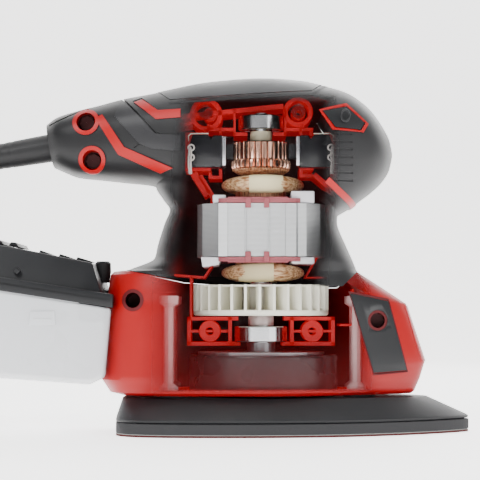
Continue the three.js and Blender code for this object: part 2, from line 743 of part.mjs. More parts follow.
function padLayer(z0, thickness) {
  return plate(padOutline(0), z0, z0 + thickness);
}

function padBase() {
  const lower = padOutline(0.2);
  const upper = padOutline(baseBevel);
  const ringAt = (outline, z) => outline.map(([x, y]) => [x, y, z]);
  const body = skin([ringAt(lower, baseZ), ringAt(lower, baseZ + 0.4), ringAt(upper, baseTop)]);
  const sockets = posts.map(({ x, y }) => {
    const bore = postFlangeRadius + orbitRadius + clearance + 0.1;
    const place = [x + orbitRadius, y]; // the pad carries its sockets round with it
    return ring(bore, bore + padSocketWall, baseTop - 3, postBottom + 1.6, 16, place);
  });
  return sockets.reduce((sum, one) => sum.add(one), body);
}

function padHub() {
  const seat = lowerBearing.outer + clearance;
  const bearingTop = padBearingZ + lowerBearing.width + clearance;
  const drum = turned([[0, drumZ], [drumRadius, drumZ], [drumRadius, drumTop],
    [drumRadius - drumWall, drumTop], [drumRadius - drumWall, drumZ + 2.4], [0, drumZ + 2.4]],
    28, padCentre);
  const cup = ring(seat, seat + 2, drumZ + 1, bearingTop, 20, padCentre);
  return drum.add(cup).subtract(rod(lowerBearing.bore + 2, drumZ + 1.2, farAway, 24, padCentre));
}

// ---- Dust box and its lid ----
const rimAt = (x) => 51.1 + (boxFront - x) * rimTilt;

function dustBody(wall) {
  const outline = [[boxFront - 1 - wall, rimAt(boxFront - 1) + (wall ? 9 : 0)],
    [boxFront - 3.4 - wall, boxFloor + 3 + wall], [boxFront - 9.3, boxFloor + wall],
    [boxRear + 18, boxFloor + 4.5 + wall], [boxRear + 3 + wall, boxFloor + 16],
    [boxRear + wall, rimAt(boxRear) + (wall ? 9 : 0)]];
  const slab = sidePlate(outline, -boxHalfWidth + wall, boxHalfWidth - wall);
  return slab.subtract(bodyForm([-0.6 - wall, -0.6 - wall]));
}

function dustBox() {
  return dustBody(0).subtract(dustBody(boxWall))
    .subtract(barX(spigotRadius + 0.5, 0, spigotZ, -120, -40));
}

function dustLidForm(wall) {
  const lift = (x, up) => rimAt(x) + clearance + up;
  const top = lidTopLift - wall;
  const low = wall ? -9 : 0;
  const [front, rear] = [boxFront - wall, boxRear + wall];
  const band = [[front, lift(front, low)], [front, lift(front, rimHeight - wall)],
    [rear, lift(rear, rimHeight - wall)], [rear, lift(rear, low)]];
  const crown = [[front - 3, lift(front, low)], [front - 8.9, lift(front - 8.9, top - 2)],
    [front - 43, lift(front - 43, top - 0.5)], [rear + 9, lift(rear + 9, top)],
    [rear + 3, lift(rear + 3, top - 7)], [rear + 3, lift(rear, low)]];
  const half = boxHalfWidth + 0.5 - wall;
  return sidePlate(band, -half, half).add(sidePlate(crown, -half + 5, half - 5))
    .subtract(bodyForm([-0.6 - wall, -0.6 - wall]));
}

const belowRim = [[-farAway, rimAt(-farAway) + clearance], [0, rimAt(0) + clearance], [0, 0],
  [-farAway, 0]];

function dustLid() {
  const notch = spigotRadius + 0.5;
  return dustLidForm(0).subtract(dustLidForm(boxWall))
    .subtract(barX(notch, 0, spigotZ, -80, -40))
    .subtract(box([-80, -40], [-notch + 0.1, notch - 0.1], [spigotZ - 20, spigotZ + 0.6]))
    .subtract(sidePlate(belowRim, -farAway, farAway));
}

function dustFilter() {
  const [x0, x1] = [boxFront - 22, boxRear + 16];
  const under = (x) => rimAt(x) + clearance + lidTopLift - boxWall - 3;
  return sidePlate([[x0, under(x0)], [x1, under(x1)], [x1, under(x1) - 3], [x0, under(x0) - 3]],
    -22, 22);
}

// ---- Mains lead ----
function cordBoot() {
  return bootBar(bootRadius, bootRadius, -100, bootInner)
    .add(bootBar(bootEndRadius, bootRadius, bootRear, -99))
    .add(bootBar(8, 8, -84, bootInner - 0.2))
    .subtract(bootBar(2, 2, bootInner - 4, bootInner + 4, 10));
}

// The lead's route from the boot to the coil. Chosen by hand.
const cordPoints = [
  [-130.8, 0, bootAxisZ(-130.8)],
  [-141, 0, bootAxisZ(-141)],
  [-153, 0.8, bootAxisZ(-153) - 0.4],
  [-165, 3.2, bootAxisZ(-165) - 1.7],
  [-176, 7, bootAxisZ(-176) - 5.5],
  [-186, 11.6, 89.6],
  [-194.5, 16.6, 78.4],
  [-201.5, 21.8, 65.3],
  [-207, 27, 51.2],
  [-211, 33, 37],
  [-214, 40.5, 23.5],
];

function cordTube() {
  const path = new THREE.CatmullRomCurve3(cordPoints.map((p) => new THREE.Vector3(...p)));
  const section = new THREE.Shape();
  const sides = 8;
  for (let i = 0; i < sides; i++) {
    const angle = (2 * Math.PI * i) / sides;
    const corner = [cordRadius * Math.cos(angle), cordRadius * Math.sin(angle)];
    if (i === 0) section.moveTo(...corner);
    else section.lineTo(...corner);
  }
  section.closePath();
  return toSolid(new THREE.ExtrudeGeometry(section, { steps: 18, extrudePath: path }));
}

const coilBottom = tieThickness + clearance;
const coilTop = coilBottom + 2 * coilTurnPitch;
const coilInnerRadius = coilMeanRadius - 2 * coilTurnPitch; // four turns below, three on top
const coilOuterRadius = coilMeanRadius + 2 * coilTurnPitch;

function cordCoil() {
  return ring(coilInnerRadius, coilOuterRadius, coilBottom, coilTop, 28, coilCentre);
}

// A flat strap round the coil's section, on the side away from the casing.
function cordTie() {
  const band = (grow) => [coilInnerRadius - grow, coilOuterRadius + grow];
  const [x, y] = coilCentre;
  const [inner, outer] = [band(clearance), band(clearance + tieThickness)];
  const across = [x - tieWidth / 2, x + tieWidth / 2];
  const sag = 0.8; // the ring curves across the strap's width
  return box(across, [y + outer[0] - sag, y + outer[1]], [0, coilTop + clearance + tieThickness])
    .subtract(box([x - 20, x + 20], [y + inner[0] - sag, y + inner[1]],
      [tieThickness, coilTop + clearance]));
}

// A generic two-pin plug, lying on top of the coil.
function plug() {
  const [x, y] = [coilCentre[0] - 25, coilCentre[1] - 8];
  const [low, high] = [coilTop + clearance, coilTop + clearance + 11];
  const body = [[x - 9, y + 15], [x - 9, y + 29], [x - 6, y + 34], [x + 6, y + 34], [x + 9, y + 29],
    [x + 9, y + 15], [x + 4, y], [x - 4, y]];
  const pin = (dx) => {
    const bar = new THREE.CylinderGeometry(2, 2, 20, 10);
    return toSolid(bar.translate(x + dx, y + 42, (low + high) / 2));
  };
  return plate(body, low, high).add(pin(-4.6)).add(pin(4.6));
}

// ---- The assembly ----
const redPlastic = { color: 0xb3151a, roughness: 0.4, metalness: 0 };
const softBlack = { color: 0x232324, roughness: 0.65, metalness: 0 };
const darkPlastic = { color: 0x2b2c2e, roughness: 0.5, metalness: 0 };
const steel = { color: 0xb8babd, roughness: 0.3, metalness: 1 };
const castSteel = { color: 0x55575a, roughness: 0.5, metalness: 0.8 };
const laminated = { color: 0xa9abad, roughness: 0.45, metalness: 0.9 };
const copper = { color: 0xc0713e, roughness: 0.4, metalness: 0.8 };
const wireTan = { color: 0xc98a55, roughness: 0.5, metalness: 0.4 };
const cream = { color: 0xe4dfc4, roughness: 0.5, metalness: 0 };
const dustyRed = { color: 0x9b4a4e, roughness: 0.6, metalness: 0 };
const whitePlastic = { color: 0xdedbe0, roughness: 0.5, metalness: 0 };
const carbon = { color: 0x1c1c1d, roughness: 0.7, metalness: 0 };
const rubberBlack = { color: 0x1e1e1f, roughness: 0.7, metalness: 0 };
const paleRubber = { color: 0xc9b2b0, roughness: 0.6, metalness: 0 };
const foamGrey = { color: 0x2a2a2b, roughness: 0.9, metalness: 0 };
const sandingRed = { color: 0x4a211d, roughness: 0.95, metalness: 0 };
const frosted = { color: 0xdfe2e4, roughness: 0.35, metalness: 0 };
const feltGrey = { color: 0x8d8f8c, roughness: 0.95, metalness: 0 };
const noseRed = { color: 0x8f1216, roughness: 0.35, metalness: 0 };

const sander = new THREE.Group();

// Only the largest closed shell is the piece: crumbs that a cut leaves loose are swept away.
function mainShell(solid) {
  const { vertProperties, triVerts: corners, numProp } = solid.getMesh();
  const whole = new THREE.BufferGeometry();
  whole.setAttribute("position", new THREE.BufferAttribute(vertProperties, numProp));
  whole.setIndex([...corners]);
  const welded = mergeVertices(whole, 1e-3);
  const vertices = welded.attributes.position.array;
  const triVerts = [];
  for (let i = 0; i < welded.index.count; i += 3) {
    const [a, b, c] = welded.index.array.slice(i, i + 3);
    if (a !== b && b !== c && c !== a) triVerts.push(a, b, c);
  }
  const owner = Array.from({ length: vertices.length / numProp }, (_, i) => i);
  const find = (i) => {
    while (owner[i] !== i) i = owner[i] = owner[owner[i]];
    return i;
  };
  for (let i = 0; i < triVerts.length; i += 3) {
    owner[find(triVerts[i + 1])] = find(triVerts[i]);
    owner[find(triVerts[i + 2])] = find(triVerts[i]);
  }
  const shells = new Map();
  for (let i = 0; i < triVerts.length; i += 3) {
    const shell = find(triVerts[i]);
    shells.set(shell, [...(shells.get(shell) ?? []), triVerts[i], triVerts[i + 1], triVerts[i + 2]]);
  }
  const largest = [...shells.values()].sort((a, b) => b.length - a.length)[0];
  const positions = [];
  for (const i of largest) {
    positions.push(...vertices.slice(i * numProp, i * numProp + 3));
  }
  const geometry = new THREE.BufferGeometry();
  return geometry.setAttribute("position", new THREE.Float32BufferAttribute(positions, 3));
}

function addPiece(name, solid, finish) {
  const geometry = mergeVertices(mainShell(solid), 1e-4);
  geometry.computeVertexNormals();
  const mesh = new THREE.Mesh(geometry, new THREE.MeshStandardMaterial(finish));
  mesh.name = name;
  sander.add(mesh);
}

function addCasing() {
  addPiece("housing_right", housing(-1), redPlastic);
  addPiece("housing_left", housing(1), redPlastic);
  addPiece("grip_right", grip(-1), softBlack);
  addPiece("grip_left", grip(1), softBlack);
  addPiece("palm_pad", gripLayer.intersect(palmZone(0)), softBlack);
  addPiece("front_panel_right", frontPanel(-1), darkPlastic);
  addPiece("front_panel_left", frontPanel(1), darkPlastic);
  addPiece("nose_plate", nosePlateZone(0).intersect(outerForm), noseRed);
  for (const one of screws) addPiece(one.name, screw(one), castSteel);
  for (const one of posts) addPiece(one.name, post(one), paleRubber);
  addPiece("dust_spigot", spigot(), darkPlastic);
}

function addMotor() {
  addPiece("stator_stack", stator(), laminated);
  addPiece("field_coil_right", fieldCoil(-1), wireTan);
  addPiece("field_coil_left", fieldCoil(1), wireTan);
  addPiece("lower_insulator", insulator(stackZ - clearance - insulatorThickness), dustyRed);
  addPiece("upper_insulator", insulator(upperInsulatorZ), dustyRed);
  addPiece("terminal_block_front", terminalBlock(12, 21), whitePlastic);
  addPiece("terminal_block_rear", terminalBlock(-23, -15), whitePlastic);
  for (const [name, end] of [["rear", -1], ["front", 1]]) {
    addPiece("brush_holder_" + name, brushHolder(end), darkPlastic);
    addPiece("carbon_brush_" + name, carbonBrush(end), carbon);
    addPiece("brush_spring_" + name, brushSpring(end), steel);
  }
  addPiece("switch_body", switchBody(), darkPlastic);
  addPiece("switch_button", switchButton(), darkPlastic);
  addPiece("upper_bearing_outer", outerRing(upperBearing, upperBearingZ), steel);
  addPiece("lower_bearing_outer", outerRing(lowerBearing, lowerBearingZ), steel);
}

function addRotor() {
  addPiece("motor_shaft", shaft(), steel);
  addPiece("armature_core", armatureCore(), laminated);
  addPiece("armature_winding", armatureWinding(), wireTan);
  addPiece("commutator", commutator(), copper);
  const bush = ring(shaftNoseRadius + clearance, bushRadius, bushZ, bushZ + bushHeight, 24);
  addPiece("insulating_bush", bush, cream);
  addPiece("fan", fan(), cream);
  addPiece("eccentric", eccentric(), castSteel);
  addPiece("upper_bearing_inner", innerRing(upperBearing, upperBearingZ), steel);
  addPiece("lower_bearing_inner", innerRing(lowerBearing, lowerBearingZ), steel);
  addPiece("pad_bearing_inner", innerRing(lowerBearing, padBearingZ, padCentre), steel);
}

function addPad() {
  addPiece("pad_bearing_outer", outerRing(lowerBearing, padBearingZ, padCentre), steel);
  addPiece("pad_hub", padHub(), rubberBlack);
  addPiece("pad_base", padBase(), darkPlastic);
  addPiece("foam_pad", padLayer(foamZ, foamThickness), foamGrey);
  addPiece("sanding_sheet", padLayer(0, sheetThickness), sandingRed);
}

function addDustBox() {
  addPiece("dust_box", dustBox(), frosted);
  addPiece("dust_lid", dustLid(), darkPlastic);
  addPiece("dust_filter", dustFilter(), feltGrey);
}

function addLead() {
  addPiece("cord_boot", cordBoot(), rubberBlack);
  addPiece("cord", cordTube(), rubberBlack);
  addPiece("cord_coil", cordCoil(), rubberBlack);
  addPiece("cord_tie", cordTie(), rubberBlack);
  addPiece("plug", plug(), rubberBlack);
}

addCasing();
addMotor();
addRotor();
addPad();
addDustBox();
addLead();

export default sander;
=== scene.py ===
import math

import bmesh
import bpy
import numpy as np
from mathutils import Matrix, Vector


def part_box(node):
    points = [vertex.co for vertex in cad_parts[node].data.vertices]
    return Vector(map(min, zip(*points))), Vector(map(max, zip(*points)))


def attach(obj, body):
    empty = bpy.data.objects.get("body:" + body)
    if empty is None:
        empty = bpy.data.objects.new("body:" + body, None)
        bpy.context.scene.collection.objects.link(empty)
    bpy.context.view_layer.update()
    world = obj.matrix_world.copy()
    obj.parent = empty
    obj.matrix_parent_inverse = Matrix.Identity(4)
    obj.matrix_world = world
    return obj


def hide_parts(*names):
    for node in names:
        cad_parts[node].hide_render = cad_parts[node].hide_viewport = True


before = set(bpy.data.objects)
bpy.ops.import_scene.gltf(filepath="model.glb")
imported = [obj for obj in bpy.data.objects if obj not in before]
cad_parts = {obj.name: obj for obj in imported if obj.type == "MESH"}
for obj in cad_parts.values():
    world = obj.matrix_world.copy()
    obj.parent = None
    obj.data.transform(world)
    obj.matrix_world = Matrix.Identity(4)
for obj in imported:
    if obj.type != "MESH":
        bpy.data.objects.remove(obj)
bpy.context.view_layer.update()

bl_info = {
    "name": "Detail Sander",
    "version": (1, 0, 0),
    "blender": (4, 5, 0),
    "location": "View3D > Sidebar > Sander",
    "description": "Builds a detail sander round its mechanical frame",
    "category": "Add Mesh",
}

MM = 0.001  # one millimetre, in the scene's metres


def box_mm(node):
    """A frame node's lowest and highest corners, in millimetres."""
    low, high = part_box(node)
    return np.array(low) / MM, np.array(high) / MM


# ---- Levels and sizes that the frame gives ----
STACK_LOW, STACK_HIGH = (corner[2] for corner in box_mm("stator_stack"))
BEARING_LOW, BEARING_HIGH = (corner[2] for corner in box_mm("upper_bearing_outer"))
LOWER_BEARING_LOW, LOWER_BEARING_HIGH = (corner[2] for corner in box_mm("lower_bearing_outer"))
HEAD_Z = BEARING_LOW - 8.3
SKIRT_LOW = box_mm("housing_left")[0][2]
SKIRT_TOP = SKIRT_LOW + 50.4
DRUM_LOW, DRUM_HIGH = (corner[2] for corner in box_mm("pad_hub"))
FAN_LOW = box_mm("fan")[0][2]
COMMUTATOR_LOW, COMMUTATOR_HIGH = (corner[2] for corner in box_mm("commutator"))
COIL_LOW, COIL_HIGH = (corner[2] for corner in box_mm("field_coil_left"))
BRUSH_Z = sum(corner[2] for corner in box_mm("carbon_brush_rear")) / 2
ORBIT = 1.0  # how far the pad's axis stands off the motor's


class SanderSizes(bpy.types.PropertyGroup):
    """Sizes of the detail that the frame leaves open."""

    fan_blades: bpy.props.IntProperty(
        name="Fan blades", description="Blades round the cooling fan", default=30)
    bars: bpy.props.IntProperty(
        name="Commutator bars", description="Copper bars round the commutator", default=28)
    cord_diameter: bpy.props.FloatProperty(
        name="Cord diameter", description="Outside diameter of the mains lead",
        default=6.5 * MM, unit="LENGTH")
    cord_length: bpy.props.FloatProperty(
        name="Cord length", description="Whole length of the mains lead",
        default=1.7, unit="LENGTH")
    film: bpy.props.FloatProperty(
        name="Window film", description="How solid the see-through part of the shell is",
        default=0.03, subtype="FACTOR", min=0, max=1)


class SanderColours(bpy.types.PropertyGroup):
    """The main finishes."""

    shell: bpy.props.FloatVectorProperty(
        name="Shell red", description="Colour of the clamshell", subtype="COLOR",
        default=(0.33, 0.0015, 0.0025), min=0, max=1)
    grip: bpy.props.FloatVectorProperty(
        name="Grip black", description="Colour of the soft overmould", subtype="COLOR",
        default=(0.007, 0.007, 0.008), min=0, max=1)
    dark: bpy.props.FloatVectorProperty(
        name="Charcoal", description="Colour of the dark mouldings", subtype="COLOR",
        default=(0.013, 0.0135, 0.015), min=0, max=1)


# ---- Surfaces ----
def grid_quads(rows, cols, wrap):
    """The quads of a grid of points, joined round its columns if wrap is true."""
    across = cols if wrap else cols - 1
    r, c = np.meshgrid(np.arange(rows - 1), np.arange(across), indexing="ij")
    a, b = (r * cols + c).ravel(), (r * cols + (c + 1) % cols).ravel()
    return np.stack([a, b, b + cols, a + cols], axis=1).tolist()


def link(name, mesh):
    """A new object in the scene that shows the mesh."""
    piece = bpy.data.objects.new(name, mesh)
    bpy.context.scene.collection.objects.link(piece)
    return piece


def tidy(mesh, crease=35.0):
    """Welds the mesh, points its faces out, and smooths it up to the crease angle in degrees."""
    work = bmesh.new()
    work.from_mesh(mesh)
    bmesh.ops.remove_doubles(work, verts=work.verts, dist=2e-6)
    bmesh.ops.recalc_face_normals(work, faces=work.faces)
    work.to_mesh(mesh)
    work.free()
    mesh.shade_smooth()
    mesh.set_sharp_from_angle(angle=math.radians(crease))
    mesh.update()


def solid(name, points, faces, crease=35.0):
    """An object from points in millimetres and faces."""
    mesh = bpy.data.meshes.new(name)
    mesh.from_pydata((np.asarray(points, float).reshape(-1, 3) * MM).tolist(), [], faces)
    tidy(mesh, crease)
    return link(name, mesh)


def tube_of(name, rings, crease=35.0):
    """A closed solid: a grid of points joined round, with a flat face over each end."""
    rings = np.asarray(rings, float)
    rows, cols = rings.shape[:2]
    ends = [list(range(cols))[::-1], [(rows - 1) * cols + i for i in range(cols)]]
    return solid(name, rings, grid_quads(rows, cols, True) + ends, crease)


def torus_of(name, rings, crease=35.0):
    """A closed ring: a grid of points joined both ways."""
    rings = np.asarray(rings, float)
    rings = np.concatenate([rings, rings[:1]])
    return solid(name, rings, grid_quads(len(rings), rings.shape[1], True), crease)


def around(count):
    """Even angles round a circle."""
    return np.linspace(0, 2 * np.pi, count, endpoint=False)


def turned(name, profile, count=64, centre=(0, 0), crease=35.0, wave=None):
    """A profile of radius and height pairs, turned about a vertical line.

    The profile is closed on itself. wave gives a factor on the radius for each angle."""
    angle = around(count)
    profile = np.asarray(profile, float)
    factor = np.ones(count) if wave is None else wave(angle)
    radius = profile[:, :1] * factor[None, :]
    x = centre[0] + radius * np.cos(angle)
    y = centre[1] + radius * np.sin(angle)
    z = np.repeat(profile[:, 1:], count, axis=1)
    return torus_of(name, np.stack([x, y, z], axis=2), crease)


def rod(radius, low, high):
    """The profile of a plain cylinder between two places."""
    return [(0.01, low), (radius, low), (radius, high), (0.01, high)]


def prism(name, outline, low, high, axis="y", bevel=0.0, crease=35.0):
    """An outline pushed out along an axis between two places, its edges rounded by bevel."""
    outline = np.asarray(outline, float)
    order = {"y": (0, None, 1), "z": (0, 1, None), "x": (None, 0, 1)}[axis]
    rings = np.empty((2, len(outline), 3))
    for k, source in enumerate(order):
        if source is None:
            rings[0, :, k], rings[1, :, k] = low, high
        else:
            rings[:, :, k] = outline[:, source]
    piece = tube_of(name, rings, crease)
    if bevel:
        round_edges(piece, bevel)
    return piece


def block(name, low, high, bevel=0.0):
    """A box between two corners, its edges rounded by bevel."""
    outline = [(low[0], low[1]), (high[0], low[1]), (high[0], high[1]), (low[0], high[1])]
    return prism(name, outline, low[2], high[2], "z", bevel)


def round_edges(piece, width):
    """Rounds every edge over 30 degrees by a width in millimetres."""
    bevel = piece.modifiers.new("edges", "BEVEL")
    bevel.width = width * MM
    bevel.segments = 3
    bevel.limit_method = "ANGLE"
    bevel.angle_limit = math.radians(30)
    bevel.use_clamp_overlap = True
    settle(piece)
    tidy(piece.data)


def settle(piece):
    """Applies the piece's modifiers."""
    bpy.context.view_layer.update()
    graph = bpy.context.evaluated_depsgraph_get()
    made = bpy.data.meshes.new_from_object(piece.evaluated_get(graph))
    piece.modifiers.clear()
    piece.data = made


def carve(piece, cutter, how="DIFFERENCE", keep=False):
    """Cuts a solid with another, joins them, or keeps what they share."""
    before = piece.data
    for tolerant in (False, True):
        cut = piece.modifiers.new("cut", "BOOLEAN")
        cut.operation = how
        cut.solver = "EXACT"
        cut.use_hole_tolerant = tolerant
        cut.use_self = tolerant
        cut.object = cutter
        settle(piece)
        if piece.data.polygons:
            break
        piece.data = before
    if not piece.data.polygons:
        raise RuntimeError(f"{piece.name}: nothing is left after a cut")
    if not keep:
        bpy.data.objects.remove(cutter)
    return piece


def copy_of(piece, name):
    """A second object with its own copy of the mesh."""
    return link(name, piece.data.copy())


def joined(name, pieces, crease=35.0):
    """One object that holds the meshes of several."""
    work = bmesh.new()
    for piece in pieces:
        work.from_mesh(piece.data)
    mesh = bpy.data.meshes.new(name)
    work.to_mesh(mesh)
    work.free()
    for piece in pieces:
        bpy.data.objects.remove(piece)
    mesh.shade_smooth()
    mesh.set_sharp_from_angle(angle=math.radians(crease))
    return link(name, mesh)


def wire(name, path, radius, count=10, rounds=0, crease=60.0):
    """A round rod along a path of points, by carrying a circle along it without twist."""
    path = np.asarray(path, float)
    if rounds:
        path = flowing(path, rounds)
    along = np.gradient(path, axis=0)
    along /= np.linalg.norm(along, axis=1)[:, None]
    side = np.cross(along, [0.13, 0.21, 0.97])
    side /= np.linalg.norm(side, axis=1)[:, None]
    up = np.cross(side, along)
    angle = around(count)[None, :, None]
    radius = np.broadcast_to(np.asarray(radius, float), (len(path),))[:, None, None]
    circle = np.cos(angle) * side[:, None, :] + np.sin(angle) * up[:, None, :]
    return tube_of(name, path[:, None, :] + radius * circle, crease)


def flowing(path, per_step):
    """A Catmull-Rom curve through the points, with per_step points to each stretch."""
    path = np.asarray(path, float)
    ends = np.vstack([2 * path[0] - path[1], path, 2 * path[-1] - path[-2]])
    t = np.linspace(0, 1, per_step, endpoint=False)[None, :, None]
    p0, p1, p2, p3 = (ends[i:len(ends) - 3 + i, None, :] for i in range(4))
    curve = 0.5 * (2 * p1 + (p2 - p0) * t + (2 * p0 - 5 * p1 + 4 * p2 - p3) * t ** 2
                   + (3 * p1 - p0 - 3 * p2 + p3) * t ** 3)
    return np.vstack([curve.reshape(-1, path.shape[1]), path[-1:]])


def give(piece, look, body="root", stands_for=()):
    """Sets a piece's material, the body it rides on and the nodes it stands for."""
    piece.data.materials.clear()
    piece.data.materials.append(look)
    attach(piece, body)
    if stands_for:
        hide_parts(*stands_for)
    return piece


# ---- Materials ----
def maths(tree, operation, *values, clamp=False):
    """A Math node on sockets or numbers."""
    node = tree.nodes.new("ShaderNodeMath")
    node.operation = operation
    node.use_clamp = clamp
    for i, value in enumerate(values):
        if isinstance(value, (int, float)):
            node.inputs[i].default_value = value
        else:
            tree.links.new(value, node.inputs[i])
    return node.outputs[0]


def ramp_value(tree, value, from_low, from_high, to_low=0.0, to_high=1.0, smooth=True):
    """A Map Range node, eased at both ends if smooth is true."""
    node = tree.nodes.new("ShaderNodeMapRange")
    node.interpolation_type = "SMOOTHSTEP" if smooth else "LINEAR"
    node.inputs["From Min"].default_value = from_low
    node.inputs["From Max"].default_value = from_high
    node.inputs["To Min"].default_value = to_low
    node.inputs["To Max"].default_value = to_high
    tree.links.new(value, node.inputs["Value"])
    return node.outputs["Result"]


def noise(tree, place, scale, detail=3.0, stretch=(1, 1, 1)):
    """A Noise Texture on stretched object coordinates."""
    mapping = tree.nodes.new("ShaderNodeMapping")
    mapping.inputs["Scale"].default_value = stretch
    tree.links.new(place, mapping.inputs["Vector"])
    node = tree.nodes.new("ShaderNodeTexNoise")
    node.inputs["Scale"].default_value = scale
    node.inputs["Detail"].default_value = detail
    tree.links.new(mapping.outputs["Vector"], node.inputs["Vector"])
    return node.outputs["Fac"]


def object_place(tree):
    """The place on the piece, in its own coordinates."""
    return tree.nodes.new("ShaderNodeTexCoord").outputs["Object"]


def parts_of(tree, vector):
    """A vector's X, Y and Z sockets."""
    node = tree.nodes.new("ShaderNodeSeparateXYZ")
    tree.links.new(vector, node.inputs[0])
    return node.outputs["X"], node.outputs["Y"], node.outputs["Z"]


def bumped(tree, shader, height, strength, distance=0.0002):
    """Sets the shader's bump from a height socket."""
    bump = tree.nodes.new("ShaderNodeBump")
    bump.inputs["Strength"].default_value = strength
    bump.inputs["Distance"].default_value = distance
    tree.links.new(height, bump.inputs["Height"])
    tree.links.new(bump.outputs["Normal"], shader.inputs["Normal"])


def tree_and_shader(made):
    """A material's node tree and its Principled shader."""
    return made.node_tree, made.node_tree.nodes["Principled BSDF"]


def blend_colours(tree, factor, first, second):
    """A Mix node between two colours."""
    node = tree.nodes.new("ShaderNodeMix")
    node.data_type = "RGBA"
    node.inputs["A"].default_value = (*first, 1)
    node.inputs["B"].default_value = (*second, 1)
    tree.links.new(factor, node.inputs["Factor"])
    return node.outputs["Result"]


def moulded(name, colour, roughness, grain=900.0, depth=0.15, mottle=0.08, metal=0.0,
            coat=0.0, stretch=(1, 1, 1), sheen=0.0):
    """A surface with a fine moulded grain, slight mottling and uneven gloss."""
    made = bpy.data.materials.new(name)
    made.use_nodes = True
    tree, shader = tree_and_shader(made)
    place = object_place(tree)
    broad = noise(tree, place, 45.0, 4.0)
    darker = tuple(c * (1 - mottle) for c in colour)
    lighter = tuple(min(1.0, c * (1 + mottle)) for c in colour)
    tree.links.new(blend_colours(tree, broad, darker, lighter), shader.inputs["Base Color"])
    rough = ramp_value(tree, broad, 0.3, 0.7, max(0.02, roughness - 0.06), roughness + 0.06)
    tree.links.new(rough, shader.inputs["Roughness"])
    shader.inputs["Metallic"].default_value = metal
    shader.inputs["Coat Weight"].default_value = coat
    shader.inputs["Coat Roughness"].default_value = 0.15
    shader.inputs["Sheen Weight"].default_value = sheen
    shader.inputs["Specular IOR Level"].default_value = 0.5 if metal else 0.3
    bumped(tree, shader, noise(tree, place, grain, 2.0, stretch), depth)
    return made


def windowed(made, film):
    """Fades a near-side shell to a thin film between the handle and the front of the head."""
    tree, shader = tree_and_shader(made)
    x, _, z = parts_of(tree, object_place(tree))
    lean = maths(tree, "MULTIPLY_ADD", z, -0.12, x)
    rear = ramp_value(tree, lean, -41 * MM, -52 * MM)
    front_edge = ramp_value(tree, z, 62 * MM, 96 * MM, 23 * MM, 27 * MM)
    front = ramp_value(tree, maths(tree, "SUBTRACT", x, front_edge), -3 * MM, 6 * MM)
    top = ramp_value(tree, z, 134.5 * MM, 140 * MM, 0.0, 0.93)
    solid_part = maths(tree, "MAXIMUM", maths(tree, "MAXIMUM", rear, front), top)
    alpha = maths(tree, "MULTIPLY_ADD", solid_part, 1 - film, film, clamp=True)
    tree.links.new(alpha, shader.inputs["Alpha"])
    return made


LOOKS = {}


def look(name):
    """The named finish, made once."""
    if name not in LOOKS:
        LOOKS[name] = FINISHES[name]()
    return LOOKS[name]


def colours():
    """The colours set in the sidebar."""
    return bpy.context.scene.sander_colours


def laminated():
    """Stacked steel sheets: fine level lines in the bump and in the gloss."""
    made = moulded("laminated_steel", (0.60, 0.61, 0.62), 0.38, depth=0.05, metal=0.75)
    tree, shader = tree_and_shader(made)
    wave = tree.nodes.new("ShaderNodeTexWave")
    wave.bands_direction = "Z"
    wave.inputs["Scale"].default_value = 628.0
    wave.inputs["Distortion"].default_value = 0.3
    tree.links.new(object_place(tree), wave.inputs["Vector"])
    bumped(tree, shader, wave.outputs["Fac"], 0.35)
    tint = blend_colours(tree, wave.outputs["Fac"], (0.44, 0.45, 0.46), (0.72, 0.73, 0.74))
    tree.links.new(tint, shader.inputs["Base Color"])
    return made


def strands(name, dark, light, stretch):
    """Bundled enamelled wire: streaks drawn out along the strands."""
    made = moulded(name, light, 0.34, depth=0.1, metal=0.25, coat=0.4)
    tree, shader = tree_and_shader(made)
    streak = noise(tree, object_place(tree), 1500.0, 3.0, stretch)
    sharp = ramp_value(tree, streak, 0.36, 0.62)
    tree.links.new(blend_colours(tree, sharp, dark, light), shader.inputs["Base Color"])
    bumped(tree, shader, streak, 0.5, 0.0004)
    return made


def frosted():
    """Translucent frosted body of the dust box."""
    made = moulded("frosted_plastic", (0.80, 0.82, 0.85), 0.32, grain=1400, depth=0.08, mottle=0.02)
    shader = made.node_tree.nodes["Principled BSDF"]
    shader.inputs["Alpha"].default_value = 0.62
    shader.inputs["Specular IOR Level"].default_value = 0.5
    return made


def glowing(made, colour, strength):
    """Adds an emission in a colour and strength: a painted glow on the ribs, and an evenly bright
    floor.
    """
    shader = made.node_tree.nodes["Principled BSDF"]
    shader.inputs["Emission Color"].default_value = (*colour, 1)
    shader.inputs["Emission Strength"].default_value = strength
    return made


def see_through(made, alpha):
    """Gives a material one even opacity."""
    made.node_tree.nodes["Principled BSDF"].inputs["Alpha"].default_value = alpha
    return made


def far_red():
    """Red moulding with painted shade inside: past the parting edge, faces that turn inwards are
    darkened, fully above the skirt and more towards the middle below it.
    """
    made = moulded("far_red", tuple(colours().shell), 0.36, 1600, 0.05, 0.06, coat=0.1)
    tree, shader = tree_and_shader(made)
    facing = tree.nodes.new("ShaderNodeTexCoord").outputs["Normal"]
    x, y, z = parts_of(tree, object_place(tree))
    inward = ramp_value(tree, parts_of(tree, facing)[1], 0.05, -0.35)
    past = ramp_value(tree, y, 0.5 * MM, 1.4 * MM)
    high = ramp_value(tree, z, (SKIRT_TOP - 10) * MM, (SKIRT_TOP + 6) * MM)
    side = maths(tree, "ABSOLUTE", x)
    wide = ramp_value(tree, side, 24 * MM, 46 * MM, 1.0, 0.25)
    # Painted shade: the far half's inside is blended towards a near-black red.
    shade = maths(tree, "MULTIPLY", maths(tree, "MULTIPLY", inward, past),
                  maths(tree, "MAXIMUM", high, wide), clamp=True)
    tint = blend_colours(tree, shade, tuple(colours().shell), (0.035, 0.006, 0.007))
    tree.links.new(tint, shader.inputs["Base Color"])
    return made


